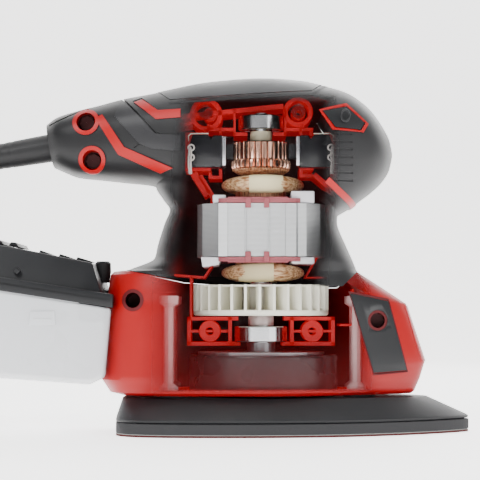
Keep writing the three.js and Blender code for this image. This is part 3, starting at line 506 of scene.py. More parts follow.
def near_red():
    """Near half of the red moulding: a film in the middle, thicker towards the hem."""
    made = moulded("near_red", tuple(colours().shell), 0.4, 1600, 0.05, 0.06)
    tree, shader = tree_and_shader(made)
    x, _, z = parts_of(tree, object_place(tree))
    rear = ramp_value(tree, x, -30 * MM, -52 * MM)
    front = ramp_value(tree, x, 36 * MM, 50 * MM)
    hem = ramp_value(tree, z, (SKIRT_LOW + 3.4) * MM, (SKIRT_LOW + 1.4) * MM, 0, 0.75)
    solid_part = maths(tree, "MAXIMUM", maths(tree, "MAXIMUM", rear, front), hem)
    low_film = ramp_value(tree, z, (SKIRT_LOW + 4) * MM, (SKIRT_LOW + 26) * MM, 0.08, 0.0, False)
    alpha = maths(tree, "MAXIMUM", solid_part, low_film)
    above = ramp_value(tree, z, (SKIRT_TOP + 2) * MM, (SKIRT_TOP + 8) * MM, 1.0, 0.0)
    inner_film = maths(tree, "MULTIPLY_ADD", above, 0.985, 0.015)
    inside = maths(tree, "MULTIPLY", alpha, inner_film, clamp=True)
    rear_solid = ramp_value(tree, x, -40 * MM, -60 * MM)
    tree.links.new(maths(tree, "MAXIMUM", inside, maths(tree, "MULTIPLY", rear_solid, alpha)),
                   shader.inputs["Alpha"])
    return made


def bar_copper():
    """Copper bars whose slots, nearer the axis, are dark."""
    made = moulded("copper_bar", (0.88, 0.50, 0.36), 0.2, 3000, 0.12, 0.14, 1.0,
                   stretch=(1, 1, 0.03))
    tree, shader = tree_and_shader(made)
    flat = tree.nodes.new("ShaderNodeVectorMath")
    flat.operation = "MULTIPLY"
    flat.inputs[1].default_value = (1, 1, 0)
    tree.links.new(object_place(tree), flat.inputs[0])
    length = tree.nodes.new("ShaderNodeVectorMath")
    length.operation = "LENGTH"
    tree.links.new(flat.outputs[0], length.inputs[0])
    outward = ramp_value(tree, length.outputs["Value"], 10.7 * MM, 11.15 * MM)
    tint = blend_colours(tree, outward, (0.02, 0.012, 0.01), (0.90, 0.52, 0.38))
    tree.links.new(tint, shader.inputs["Base Color"])
    tree.links.new(outward, shader.inputs["Metallic"])
    return made


FINISHES = {
    "red": lambda: moulded("red_shell", tuple(colours().shell), 0.36, 1600, 0.05, 0.06, coat=0.1),
    # Painted light: the ribs get a lighter red than the shell and an emission, a glow that brightens
    # them inside the shell.
    "rib_red_painted_glow": lambda: glowing(moulded("rib_red_painted_glow", (0.52, 0.002, 0.004), 0.42, 1600, 0.05, 0.06),
                               (0.6, 0.003, 0.005), 0.26),
    # Dark red: painted shade on the floors of the boss hollows and on the screw seats at the bottom of
    # the screw mouths; also used for the panel borders and the skirt screws' rims.
    "deep_red": lambda: moulded("deep_red", (0.085, 0.003, 0.005), 0.55, 1600, 0.05, 0.12),
    "nose_red": lambda: moulded("nose_red", (0.32, 0.008, 0.012), 0.25, 1600, 0.04, 0.05, coat=0.5),
    "stripe_red": lambda: moulded("stripe_red", (0.36, 0.0015, 0.003), 0.4, 1600, 0.04, 0.05),
    "grip": lambda: moulded("soft_grip", tuple(colours().grip), 0.46, 2200, 0.22, 0.1, sheen=0.1),
    "near_grip": lambda: windowed(moulded("near_grip", tuple(colours().grip), 0.44, 2200, 0.22,
                                          0.1, sheen=0.1),
                                  bpy.context.scene.sander_sizes.film),
    "palm": lambda: windowed(moulded("palm_pad", (0.02, 0.021, 0.023), 0.42, 2000, 0.2, 0.1,
                                     sheen=0.1), 0.5),
    "dark": lambda: moulded("charcoal", tuple(colours().dark), 0.42, 1800, 0.12, 0.08),
    "lid": lambda: moulded("lid_charcoal", (0.010, 0.0105, 0.012), 0.42, 2400, 0.15, 0.08),
    "base": lambda: moulded("base_charcoal", (0.011, 0.0115, 0.013), 0.48, 2200, 0.15, 0.08),
    "foam": lambda: moulded("pad_foam", (0.03, 0.03, 0.032), 0.8, 1100, 0.5, 0.15),
    "sanding": lambda: moulded("sanding_grit", (0.07, 0.012, 0.012), 0.9, 3500, 1.0, 0.3),
    "rubber": lambda: moulded("black_rubber", (0.014, 0.014, 0.015), 0.5, 1500, 0.15, 0.12),
    "pale": lambda: moulded("pale_rubber", (0.60, 0.44, 0.44), 0.4, 1200, 0.08, 0.08),
    "steel": lambda: moulded("polished_steel", (0.72, 0.73, 0.75), 0.16, 2500, 0.04, 0.04, 1.0),
    "dull_steel": lambda: moulded("dull_steel", (0.26, 0.26, 0.27), 0.38, 2000, 0.1, 0.1, 0.9),
    "plate": lambda: moulded("silver_plate", (0.66, 0.66, 0.70), 0.26, 2000, 0.05, 0.05, 0.9),
    "laminated": laminated,
    "copper_wire": lambda: strands("copper_lead", (0.30, 0.10, 0.04), (0.80, 0.42, 0.22),
                                   (1, 1, 0.15)),
    "strand": lambda: strands("enamel_wire", (0.42, 0.17, 0.06), (0.90, 0.62, 0.34),
                              (0.05, 0.6, 1)),
    "tape": lambda: moulded("winding_tape", (0.86, 0.76, 0.46), 0.6, 1400, 0.4, 0.06),
    "cream": lambda: moulded("cream_nylon", (0.80, 0.78, 0.66), 0.36, 1600, 0.06, 0.03),
    "bush": lambda: moulded("cream_bush", (0.74, 0.66, 0.46), 0.45, 1500, 0.3, 0.1),
    "dusty": lambda: moulded("dusty_red", (0.33, 0.085, 0.10), 0.6, 1200, 0.2, 0.1),
    "white": lambda: moulded("white_moulding", (0.78, 0.76, 0.80), 0.42, 1500, 0.08, 0.04),
    "carbon": lambda: moulded("carbon_brush", (0.02, 0.02, 0.022), 0.6, 1500, 0.3, 0.2),
    "felt": lambda: moulded("filter_felt", (0.34, 0.35, 0.33), 0.95, 1800, 0.9, 0.2),
    "frosted": frosted,
    "far_red": far_red,
    "near_red": near_red,
    "bar": bar_copper,
    "floor": lambda: glowing(moulded("floor_paper", (0.90, 0.89, 0.88), 0.7, 60, 0.02, 0.01),
                             (1, 0.995, 0.99), 2.2),
    # Painted shadow: the near-black band just under the palm pad's edge.
    "painted_palm_shadow": lambda: windowed(moulded("painted_palm_shadow", (0.006, 0.006, 0.007), 0.5), 0.6),
    "near_dark": lambda: windowed(moulded("collar_dark", (0.022, 0.022, 0.024), 0.36, 2200, 0.2),
                                  0.1),
    "panel": lambda: moulded("panel_charcoal", (0.014, 0.0145, 0.016), 0.44, 2200, 0.15, 0.08),
    "ghost_steel": lambda: windowed(moulded("ghost_steel", (0.26, 0.26, 0.27), 0.38, metal=0.9),
                                    0.04),
    "pale_post": lambda: see_through(moulded("pale_post", (0.74, 0.50, 0.50), 0.45), 0.72),
    "pale_steel": lambda: moulded("pale_sleeve", (0.62, 0.50, 0.49), 0.35, metal=0.4),
    "holder": lambda: moulded("brush_holder", (0.012, 0.012, 0.015), 0.22, 1500, 0.05, coat=0.3),
    "white_lead": lambda: moulded("white_lead", (0.80, 0.74, 0.70), 0.4, 1500, 0.1),
    "dark_screw": lambda: moulded("dark_screw", (0.05, 0.012, 0.013), 0.5, metal=0.6),
    "drum": lambda: moulded("drum_black", (0.018, 0.016, 0.017), 0.3, 1500, 0.15, 0.1,
                            stretch=(0.2, 0.2, 3)),
}


# ---- The casing's outer form ----
def powered(value, power):
    """A number raised to a power with its sign kept."""
    return np.sign(value) * np.abs(value) ** power


def smooth_rows(rows, steps):
    """Rows of numbers made finer by a curve that never overshoots its own rows.

    It is a cubic between each two rows, whose slope at a row is the harmonic mean of the
    slopes on its two sides, or nothing where they differ in sign."""
    rows = np.asarray(rows, float)
    change = np.diff(rows, axis=0)
    slope = np.zeros_like(rows)
    before, after = change[:-1], change[1:]
    same = before * after > 0
    total = np.where(same, before + after, 1.0)
    slope[1:-1] = np.where(same, 2 * before * after / total, 0.0)
    slope[0], slope[-1] = change[0], change[-1]
    t = np.linspace(0, 1, steps, endpoint=False)[None, :, None]
    a, b = rows[:-1, None, :], rows[1:, None, :]
    m, n = slope[:-1, None, :], slope[1:, None, :]
    curve = ((1 + 2 * t) * (1 - t) ** 2 * a + t * (1 - t) ** 2 * m
             + t * t * (3 - 2 * t) * b + t * t * (t - 1) * n)
    return np.vstack([curve.reshape(-1, rows.shape[1]), rows[-1:]])


def straight_rows(rows, steps):
    """Rows of numbers made finer by straight steps."""
    rows = np.asarray(rows, float)
    t = np.linspace(0, 1, steps, endpoint=False)[None, :, None]
    line = rows[:-1, None, :] + t * np.diff(rows, axis=0)[:, None, :]
    return np.vstack([line.reshape(-1, rows.shape[1]), rows[-1:]])


# Height, rear, front, half width, squareness, narrowing to the nose, share of an inset that
# lowers the ring: the skirt, whose edges stay crisp, and the neck, which flows.
SKIRT_ROWS = [
    (0, -58.2, 62.6, 35.5, 0.5, 0.7, 0), (1.1, -62.5, 64, 37, 0.5, 0.7, 0),
    (6.3, -65.9, 66.3, 38.5, 0.5, 0.7, 0), (13.4, -65.5, 68.5, 38.5, 0.5, 0.72, 0),
    (37.3, -64.2, 60.6, 37.5, 0.5, 0.66, 0.5), (44, -63.3, 50.3, 36, 0.53, 0.5, 0.8),
    (49.1, -62.6, 42.4, 34.5, 0.57, 0.3, 1), (50.4, -61.2, 40.6, 33.8, 0.6, 0.2, 1),
    (51.2, -55.2, 39.8, 33.4, 0.62, 0.15, 1),
]
NECK_FRONT = box_mm("stator_stack")[1][0] + 5.2
NECK_HALF = box_mm("stator_stack")[1][1] + 9.2
NECK_ROWS = [
    (SKIRT_TOP + 0.8, -55.2, 39.8, 33.4, 0.62, 0.15, 1),
    (STACK_LOW - 0.5, -44.5, NECK_FRONT + 6, NECK_HALF + 0.6, 0.66, 0, 0.4),
    (STACK_LOW + 4.9, -43.2, NECK_FRONT + 3.6, NECK_HALF, 0.66, 0, 0),
    (STACK_HIGH - 7.3, -40.2, NECK_FRONT, NECK_HALF, 0.66, 0, 0),
    (STACK_HIGH - 2, -38.2, NECK_FRONT + 0.8, NECK_HALF, 0.66, 0, 0),
    (STACK_HIGH + 2.8, -41.2, NECK_FRONT + 3, NECK_HALF, 0.66, 0, 0),
    (STACK_HIGH + 8.6, -44.1, NECK_FRONT + 5, NECK_HALF, 0.66, 0, 0),
    (HEAD_Z - 1, -40, NECK_FRONT, NECK_HALF - 3, 0.7, 0, 0),
]
# Place along X, lowest and highest from the head's level, half width, squareness, lean.
HEAD_ROWS = [
    (-88.1, -7.7, 10.5, 13, 0.75, -0.17), (-84, -9.4, 13.4, 17, 0.75, -0.12),
    (-77, -11.7, 15.9, 19.5, 0.75, -0.05), (-67, -12.7, 18.6, 21.5, 0.77, 0),
    (-57, -13.8, 21.2, 24.5, 0.79, 0), (-46, -15, 23.2, 27, 0.8, 0),
    (-36, -20, 25.4, 29.5, 0.8, 0), (-21, -27, 28.2, 31.5, 0.8, 0),
    (0, -29, 29.7, 32.5, 0.8, 0), (15.5, -29, 28.8, 32.5, 0.8, 0),
    (27, -29.5, 26.4, 32, 0.82, 0), (35.3, -26, 24, 30, 0.84, 0),
    (42.1, -21.3, 19.8, 26.5, 0.86, 0), (47, -17.5, 15.2, 22.5, 0.9, 0),
    (51, -13.5, 9.5, 17, 0.95, 0), (53.7, -9.1, 4.5, 10, 1, 0), (55, -4, -0.5, 3, 1, 0),
]
RING_POINTS = 120
TAPER_START = 5.0


def body_form(name, inset_skirt, inset_neck, open_hem=False):
    """The lower casing: level rings from the hem up to inside the head.

    Each ring is a superellipse, its half width cut down towards the nose by a power of the
    way along. An inset draws the ring in, and lowers it where the form is a shoulder."""
    skirt = straight_rows(SKIRT_ROWS, 4)
    skirt[:, 0] += SKIRT_LOW
    neck = smooth_rows(NECK_ROWS, 6)
    rows = np.vstack([skirt[:-1], neck])
    if open_hem:
        hem = rows[:1].copy()
        hem[:, 0] -= 2
        rows = np.vstack([hem, rows])
    z, rear, front, half, power, taper, drop = (rows[:, i:i + 1] for i in range(7))
    inset = np.where(z <= SKIRT_TOP - 6, inset_skirt, inset_neck)
    rear, front = rear + inset, front - inset
    angle = around(RING_POINTS)[None, :]
    x = (rear + front) / 2 + (front - rear) / 2 * powered(np.cos(angle), power)
    along = np.clip((x - TAPER_START) / (front - TAPER_START), 0, 1)
    y = (half - inset) * (1 - taper * along ** 1.3) * powered(np.sin(angle), power)
    height = np.broadcast_to(z - inset * drop, x.shape)
    return tube_of(name, np.stack([x, y, height], axis=2), 30)


def head_form(name, inset):
    """The head and the rear handle: upright superellipse rings along X, smoothed lengthways."""
    rows = smooth_rows(HEAD_ROWS, 5)
    x, low, high, half, power, lean = (rows[:, i:i + 1] for i in range(6))
    ends = HEAD_ROWS[0][0], HEAD_ROWS[-1][0]
    middle = sum(ends) / 2
    x = middle + (x - middle) * (1 - 2 * inset / (ends[1] - ends[0]))
    reach = np.maximum(0.5, (high - low) / 2 - inset)
    angle = around(RING_POINTS)[None, :]
    z = reach * powered(np.cos(angle), power)
    y = np.maximum(0.5, half - inset) * powered(np.sin(angle), power)
    points = np.stack([x + lean * z, y, HEAD_Z + (low + high) / 2 + z], axis=2)
    return tube_of(name, points, 30)


def whole_form(name, inset_skirt, inset_neck, open_hem=False):
    """Head, handle, neck and skirt joined in one solid."""
    form = body_form(name, inset_skirt, inset_neck, open_hem)
    return carve(form, head_form("form_head", inset_neck), "UNION")


def side_prism(name, outline, low=-90, high=90):
    """A side outline pushed across the casing."""
    return prism(name, outline, low, high, "y")


GRIP_EDGE = [(-62, 1.2), (-55, 0.6), (-33, -3.8), (0, -6.4), (33, -6.1), (40, 0.4), (60, 9)]
PALM_EDGE = [(-45.5, 24.9), (-43.4, 23.9), (-37.6, 18.9), (20.7, 22.7), (27.5, 28.6)]


def grip_zone(grow):
    """All above the overmould's edge, seen from the side."""
    edge = [(x, SKIRT_TOP + dz - grow) for x, dz in GRIP_EDGE]
    return side_prism("grip_zone", [(-110, 190), (-110, SKIRT_TOP + 18), *edge,
                                    (80, SKIRT_TOP + 20), (80, 190)])


def palm_zone(grow):
    """All above the palm pad's edge, seen from the side."""
    edge = [(x, HEAD_Z + dz - grow) for x, dz in PALM_EDGE]
    edge[0] = (edge[0][0] - grow, edge[0][1])
    edge[-1] = (edge[-1][0] + grow, edge[-1][1])
    return side_prism("palm_zone", [(edge[0][0], 190), *edge, (edge[-1][0], 190)])


def half_block(side):
    """Everything on one side of the parting face: -1 for the right, 1 for the left."""
    near, far = sorted((0.15 * side, 90.0 * side))
    return block("half", (-130, near, -20), (130, far, 200))


SPARE_FORMS = {}
SKIRT_WALL = 2.6
GRIP_WALL = 1.9
CORE_WALL = 4.3  # overmould and shell together


def form(name, *insets, open_hem=False):
    """A fresh copy of a whole form, worked out once and kept as a mesh."""
    if name not in SPARE_FORMS:
        made = whole_form(name, *insets, open_hem)
        SPARE_FORMS[name] = made.data.copy()
        bpy.data.objects.remove(made)
    return link(name, SPARE_FORMS[name].copy())


def outer_form():
    """The casing's outer solid."""
    return form("outer_form", 0.0, 0.0)


def proud_form(rise=0.3):
    """The outer solid, grown by a rise."""
    return form(f"proud_form_{rise}", -rise, -rise)


def under_form(depth):
    """The outer solid, drawn in by a depth and open at the hem."""
    return form(f"under_form_{depth}", depth, depth, open_hem=True)


def skin_band(rise, depth):
    """A skin that follows the casing from a rise above its surface to a depth below it."""
    return carve(proud_form(rise), under_form(depth))


def inlay(name, outline, rise=0.3, depth=0.9, side=None):
    """The part of the casing's skin inside an outline seen from the side."""
    low, high = {None: (-90, 90), -1: (-90, -0.3), 1: (0.3, 90)}[side]
    piece = carve(skin_band(rise, depth), side_prism("inlay_zone", outline, low, high), "INTERSECT")
    piece.name = name
    tidy(piece.data, 30)
    return piece


def strip(points, width):
    """The outline of a line of points given a width, with mitred corners."""
    points = np.asarray(points, float)
    step = np.diff(points, axis=0)
    step /= np.linalg.norm(step, axis=1)[:, None]
    across = np.stack([-step[:, 1], step[:, 0]], axis=1)
    mitre = np.vstack([across[:1], across[:-1] + across[1:], across[-1:]])
    length = np.linalg.norm(mitre, axis=1)[:, None]
    mitre = mitre / length ** 2 * np.where(length > 1.01, 2, 1)
    return np.vstack([points + mitre * width / 2, (points - mitre * width / 2)[::-1]])


def turned_along_y(name, profile, place, count=40, crease=35.0):
    """A profile of radius and Y pairs, closed on itself, turned about a line along Y."""
    profile = np.asarray(profile, float)
    angle = around(count)
    x = place[0] + profile[:, :1] * np.cos(angle)
    z = place[1] + profile[:, :1] * np.sin(angle)
    y = np.repeat(profile[:, 1:], count, axis=1)
    return torus_of(name, np.stack([x, y, z], axis=2), crease)


def sleeve(name, place, outer, inner, near, far, edge=0.25):
    """A tube along Y with softened rims."""
    profile = [(inner, near + edge), (inner + edge, near), (outer - edge, near),
               (outer, near + edge), (outer, far), (inner, far)]
    return turned_along_y(name, profile, place)


# ---- The casing ----
SCREWS = {
    "handle_upper": (-72.2, 128.0, 5.0), "handle_lower": (-69.6, 112.2, 5.0),
    "head_rear": (-23.0, 132.8, 0), "head_front": (15.5, 133.3, 0),
    "skirt_rear": (-52.0, 54.5, 4.2), "skirt_front": (47.6, 46.3, 4.2),
}


def screw_mouths():
    """Round cutters for the screws' mouths on the near side."""
    return [turned_along_y("mouth", rod(r, -60, -8.2), (x, z), 36)
            for x, z, r in SCREWS.values() if r]


SWITCH_CORNERS = [(24.6, 13.6), (29.8, 6.7), (40.3, 5.9), (42.3, 9), (34.6, 15.8)]
PANEL_CORNERS = [(36, -9), (45.8, -41.4), (60, -40.6), (52.3, -12.2)]
PANEL_MIDDLE = (48.5, -26)


def grown(corners, middle, grow):
    """Corners moved away from a middle by a distance."""
    away = np.array(corners, float) - middle
    return middle + away * (1 + grow / np.linalg.norm(away, axis=1)[:, None])


def switch_outline(grow=0.0):
    """The switch's side outline, grown by a distance."""
    return grown(SWITCH_CORNERS, np.mean(SWITCH_CORNERS, axis=0), grow) + [0, HEAD_Z]


def panel_outline(grow=0.0):
    """The skirt panel's side outline, grown by a distance."""
    return grown(PANEL_CORNERS, np.array(PANEL_MIDDLE), grow) + [0, SKIRT_TOP]


LEAD_SLOPE = 0.171  # fall of the lead's axis for each millimetre rearwards


def boot_axis(x):
    """The height of the lead's sloping axis at the end of the handle."""
    return HEAD_Z + 0.9 - (-88.6 - x) * LEAD_SLOPE


def boot_turned(name, profile, count=40):
    """Radius and X pairs turned about the lead's sloping axis."""
    profile = np.asarray(profile, float)
    angle = around(count)
    x = np.repeat(profile[:, 1:], count, axis=1)
    lean = math.cos(math.atan(LEAD_SLOPE))
    y = profile[:, :1] * np.cos(angle)
    z = boot_axis(x) + profile[:, :1] * np.sin(angle) / lean
    return torus_of(name, np.stack([x, y, z], axis=2))


def lead_hole():
    """Cutter for the lead's way out of the handle."""
    return boot_turned("lead_hole", [(0.01, -112), (6.3, -112), (6.3, -84.4), (8.5, -84.4),
                                     (8.5, -79), (0.01, -79)])


SPIGOT_Z = 52.5


def spigot_hole(radius):
    """A round cutter along X through the rear of the skirt."""
    angle = around(32)
    x = np.array([-90.0, -50.0])[:, None] + 0 * angle
    y = radius * np.cos(angle) + 0 * x
    z = SPIGOT_Z + radius * np.sin(angle) + 0 * x
    return tube_of("spigot_hole", np.stack([x, y, z], axis=2))


def split_halves(whole, names):
    """Parts a solid at the middle: each side's piece name, finish and node."""
    for side, (name, finish, node) in names.items():
        half = carve(copy_of(whole, name), half_block(side), "INTERSECT")
        tidy(half.data, 30)
        give(half, look(finish), stands_for=[node])
    bpy.data.objects.remove(whole)


def build_casing():
    """Red clamshell: the skirt in full view, and the shell inside the overmould."""
    skirt = carve(outer_form(), grip_zone(0.3))
    core = form("core_form", SKIRT_WALL - 1.4, GRIP_WALL + 0.3)
    carve(core, side_prism("below", [(-110, -20), (-110, SKIRT_TOP - 1), (80, SKIRT_TOP - 1),
                                     (80, -20)]))
    whole = carve(skirt, core, "UNION")
    carve(whole, form("cavity_form", SKIRT_WALL, CORE_WALL, open_hem=True))
    carve(whole, lead_hole())
    carve(whole, spigot_hole(7.4))
    carve(whole, side_prism("switch_hole", switch_outline(0.4)))
    for mouth in screw_mouths():
        carve(whole, mouth)
    split_halves(whole, {
        -1: ("housing_right_shell", "near_red", "housing_right"),
        1: ("housing_left_shell", "far_red", "housing_left")})


def build_grips():
    """Black overmould in two halves, and the palm pad on top."""
    whole = carve(outer_form(), under_form(GRIP_WALL))
    carve(whole, grip_zone(0), "INTERSECT")
    carve(whole, palm_zone(0.3))
    carve(whole, side_prism("switch_hole", switch_outline(0.3)))
    carve(whole, lead_hole())
    for mouth in screw_mouths():
        carve(whole, mouth)
    grooves = [
        ([(-60, HEAD_Z + 22.5), (-57.4, HEAD_Z + 20.2), (-43.2, HEAD_Z + 4.6),
          (-41, HEAD_Z + 4)], 0.9),
        ([(-52.8, HEAD_Z + 18.6), (-49.5, HEAD_Z + 20), (-43, HEAD_Z + 14.4)], 0.6),
        ([(-88, HEAD_Z + 9.2), (-72.5, HEAD_Z + 16.4), (-66.2, HEAD_Z + 12.2)], 0.6),
        ([(-34, HEAD_Z + 0.5), (-44, HEAD_Z + 3.6), (-52, HEAD_Z - 1)], 0.5),
    ]
    for points, width in grooves:
        carve(whole, carve(skin_band(1.0, 0.8), side_prism("groove", strip(points, width)),
                           "INTERSECT"))
    slots = [block("slot", (27.4 + i * 0.25, -60, HEAD_Z + 3.6 - i * 3.1),
                   (36.6 + i * 0.1, 60, HEAD_Z + 4.4 - i * 3.1)) for i in range(7)]
    carve(whole, carve(skin_band(1.0, 0.3), joined("slots", slots), "INTERSECT"))
    split_halves(whole, {
        -1: ("grip_right_skin", "near_grip", "grip_right"),
        1: ("grip_left_skin", "grip", "grip_left")})
    palm = carve(carve(proud_form(0.12), under_form(GRIP_WALL)), palm_zone(0), "INTERSECT")
    palm.name = "palm_pad_skin"
    tidy(palm.data, 30)
    give(palm, look("palm"), stands_for=["palm_pad"])


def build_trim():
    """Red stripes, seams and rims let into the overmould and the skirt, with a painted shadow under
    the palm pad and painted shade on the screw seats.
    """
    h = HEAD_Z
    stripe = [(-68.4, h + 11.7), (-58.6, h - 3.8), (-41.3, h - 11.5), (-36.2, h - 9.6),
              (-56.1, h - 0.8), (-65.4, h + 13.1)]
    give(inlay("handle_stripe", stripe, 0.45), look("stripe_red"))
    inset = [(-52.5, h + 18.2), (-49, h + 19.4), (-42.3, h + 14.2), (-33, h + 14.6),
             (-33, h + 11), (-43, h + 10.4)]
    give(inlay("collar_inlay", inset, 0.35), look("stripe_red"))
    chin = strip([(26.5, h - 14.5), (31.6, h - 19), (38.9, h - 24.6)], 2.6)
    give(inlay("chin_seam", chin, 0.4), look("stripe_red"))
    # Painted shadow: a near-black band let in just under the palm pad's edge.
    band = [(-38.0, h + 17.6), (20.7, h + 21.4), (27.6, h + 27.4), (28.3, h + 26.6),
            (21.1, h + 20.5), (-37.6, h + 16.7)]
    give(inlay("palm_shadow_line", band, 0.1, 1.0), look("painted_palm_shadow"))
    collar = [(-57.6, h + 19.9), (-43.4, h + 4.5), (-33, h + 3.6), (-33, h - 2.8),
              (-44.6, h - 1.6), (-49.8, h + 0.5), (-60.4, h + 12.2)]
    give(inlay("collar_plate", collar, 0.3), look("near_dark"))
    for name, (x, z, radius) in SCREWS.items():
        if not radius:
            continue
        rim, rise, finish = (5.6, 0.5, "stripe_red") if "handle" in name else (4.5, 0.12, "deep_red")
        piece = carve(sleeve("rim", (x, z), rim, radius - 1.1, -60, -8.4), proud_form(rise),
                      "INTERSECT")
        piece.name = f"screw_rim_{name}"
        tidy(piece.data, 30)
        give(piece, look(finish))
        # Painted shade: the seat at the bottom of each screw mouth is dark red.
        seat = sleeve(f"screw_seat_{name}", (x, z), radius - 0.3, 3.2, -9.2, -7.9)
        give(seat, look("deep_red"))


def rib_cage(pieces, name, finish="rib_red_painted_glow"):
    """Ribs of the far half, trimmed to the inside of the casing, in a red with a painted glow unless
    another finish is given.
    """
    reach = form("rib_reach", SKIRT_WALL - 0.6, CORE_WALL - 0.6, open_hem=True)
    for piece in pieces:
        carve(piece, reach, "INTERSECT", keep=True)
    bpy.data.objects.remove(reach)
    trimmed = joined(name, pieces)
    tidy(trimmed.data, 30)
    return give(trimmed, look(finish))


def far_ribs(rows):
    """Ribs of the far half: each row has a width, a depth, and the points along it."""
    return [prism("rib", strip(points, width), 0.15, depth, "y") for width, depth, points in rows]


def build_ribs():
    """Bosses, shelves and walls moulded inside the far half of the casing."""
    h = HEAD_Z
    top = far_ribs([
        (2.0, 24, [(-36, h + 13.9), (-30, h + 14.6), (9.5, h + 18.7)]),
        (1.4, 24, [(-36, h + 10.4), (-29, h + 11.6)]),
        (0.9, 24, [(-11.1, h + 17.4), (-11.1, h + 6.2)]),
        (0.9, 24, [(10.3, h + 17.6), (10.3, h + 6.2)]),
        (1.5, 24, [(-11.4, h + 6.8), (-5.7, h + 6.8)]),
        (1.5, 24, [(5.1, h + 6.8), (10.6, h + 6.8)]),
        (1.4, 24, [(-23.6, h + 8.8), (-11.3, h + 8.8)]),
        (1.4, 24, [(10.7, h + 8.8), (22, h + 8.8)]),
        (1.4, 24, [(-22, h + 8.8), (-22, h + 11)]),
        (1.4, 24, [(17.4, h + 8.8), (17.4, h + 11)]),
        (1.5, 26, [(-22.9, h + 8.6), (-22.9, h + 6.8), (-31.1, h + 6.8), (-31.1, h - 8),
                  (-21, h - 8)]),
        (1.0, 20, [(-17.1, h + 9.3), (-17.1, h + 5.6)]),
        (1.0, 20, [(16.8, h + 9.3), (16.8, h + 5.6)]),
        (1.3, 24, [(21.2, h + 8.6), (21.2, h + 6.7), (24.4, h + 6.7)]),
        (1.4, 26, [(26.8, h + 6.8), (31, h + 6.8), (31, h - 9)]),
        (1.3, 22, [(-21.4, h - 9.4), (-21.4, h - 11.4), (-17, h - 11.4), (-17, h - 7.9)]),
        (1.3, 22, [(22.1, h - 7.8), (16.8, h - 7.8), (16.8, h - 10.7), (22, h - 10.7)]),
        (2.2, 24, [(22.3, h - 10.2), (27.4, h - 14.4), (29.3, h - 15.4), (38, h - 23)]),
        (1.6, 24, [(31, h - 8), (32.6, h - 15.6)]),
        (1.9, 26, [(-25.6, h - 10.6), (-20.3, h - 19.4), (-20.3, STACK_LOW + 13)]),
        (3.0, 20, [(-28.4, h - 9.6), (-22.4, h - 19)]),
    ])
    rings = [
        sleeve("ring", (-23.1, 132.8), 7.0, 4.8, 0.15, 24),
        sleeve("stem", (-21.3, 133.0), 3.1, 1.1, 3, 24),
        sleeve("ring", (15.7, 134.0), 6.3, 4.3, 0.15, 24),
        sleeve("stem", (15.9, 133.9), 3.1, 1.1, 3, 24),
    ]
    floors = [
        turned_along_y("floor", rod(6.5, 14, 24), (-23.1, 132.8)),
        turned_along_y("floor", rod(5.9, 14, 24), (15.7, 134.0)),
    ]
    rib_cage(top, "head_ribs")
    rib_cage(rings, "head_boss_rings")
    # Painted shade: the floors inside the bosses are dark red.
    rib_cage(floors, "head_boss_floors", "deep_red")
    low, high = LOWER_BEARING_LOW - 1.6, LOWER_BEARING_HIGH + 3.9
    middle = (low + high) / 2
    lower = far_ribs([
        (1.5, 24, [(-31, low + 0.7), (-8.6, low + 0.7)]),
        (1.5, 24, [(8.6, low + 0.7), (31, low + 0.7)]),
        (1.5, 24, [(-31, high - 0.7), (-9.5, high - 0.7)]),
        (1.5, 24, [(9.5, high - 0.7), (31, high - 0.7)]),
        (1.6, 24, [(-30.2, low), (-30.2, high)]),
        (1.6, 24, [(30.2, low), (30.2, high)]),
        (1.5, 24, [(-13, low), (-13, high)]),
        (1.5, 24, [(13, low), (13, high)]),
        (1.0, 20, [(-29.6, middle), (-14, middle)]),
        (1.0, 20, [(14, middle), (29.6, middle)]),
        (1.0, 24, [(-29.4, high), (-29.4, SKIRT_TOP - 1.6)]),
        (0.9, 24, [(-36.4, SKIRT_TOP - 1.1), (-23.8, SKIRT_TOP - 2.1), (-19.5, SKIRT_TOP + 4.4)]),
        (0.9, 24, [(24.6, SKIRT_TOP + 8), (18.9, SKIRT_TOP - 2.1), (37.8, SKIRT_TOP - 2.1)]),
        (0.9, 24, [(33, low + 8.6), (38.6, low + 8.6), (38.6, SKIRT_TOP - 7)]),
    ])
    bosses = [sleeve("boss", (-21.5, middle), 4.6, 1.5, -0.6, 22),
              sleeve("boss", (21.5, middle), 4.6, 1.5, -0.6, 22)]
    rib_cage(lower, "bridge_ribs")
    rib_cage(bosses, "bridge_bosses")
    plate = prism("hem", strip([(-53, SKIRT_LOW + 1.2), (59.5, SKIRT_LOW + 1.2)], 2.2),
                  0.2, 6, "y")
    rib_cage([plate], "hem_rib")


def build_panels():
    """Dark inserts in the sides of the skirt with a thin red border, and the nose plate."""
    for side, word in ((-1, "right"), (1, "left")):
        panel = inlay(f"front_panel_{word}_insert", panel_outline(), 0.25, 1.5, side)
        if side < 0:
            x, z, radius = SCREWS["skirt_front"]
            carve(panel, turned_along_y("mouth", rod(radius, -60, -8), (x, z)))
        give(panel, look("panel"), stands_for=[f"front_panel_{word}"])
        border = inlay(f"front_panel_{word}_border", panel_outline(1.1), 0.1, 1.2, side)
        carve(border, side_prism("border_hole", panel_outline(0.1)))
        give(border, look("deep_red"))
    top, low = SKIRT_TOP - 13.9, SKIRT_TOP - 37
    zone = [(59, top), (66.4, low), (80, low), (80, top)]
    nose = carve(skin_band(0.35, 1.2), side_prism("nose_zone", zone, -7, 7), "INTERSECT")
    nose.name = "nose_plate_insert"
    tidy(nose.data, 30)
    give(nose, look("nose_red"), stands_for=["nose_plate"])


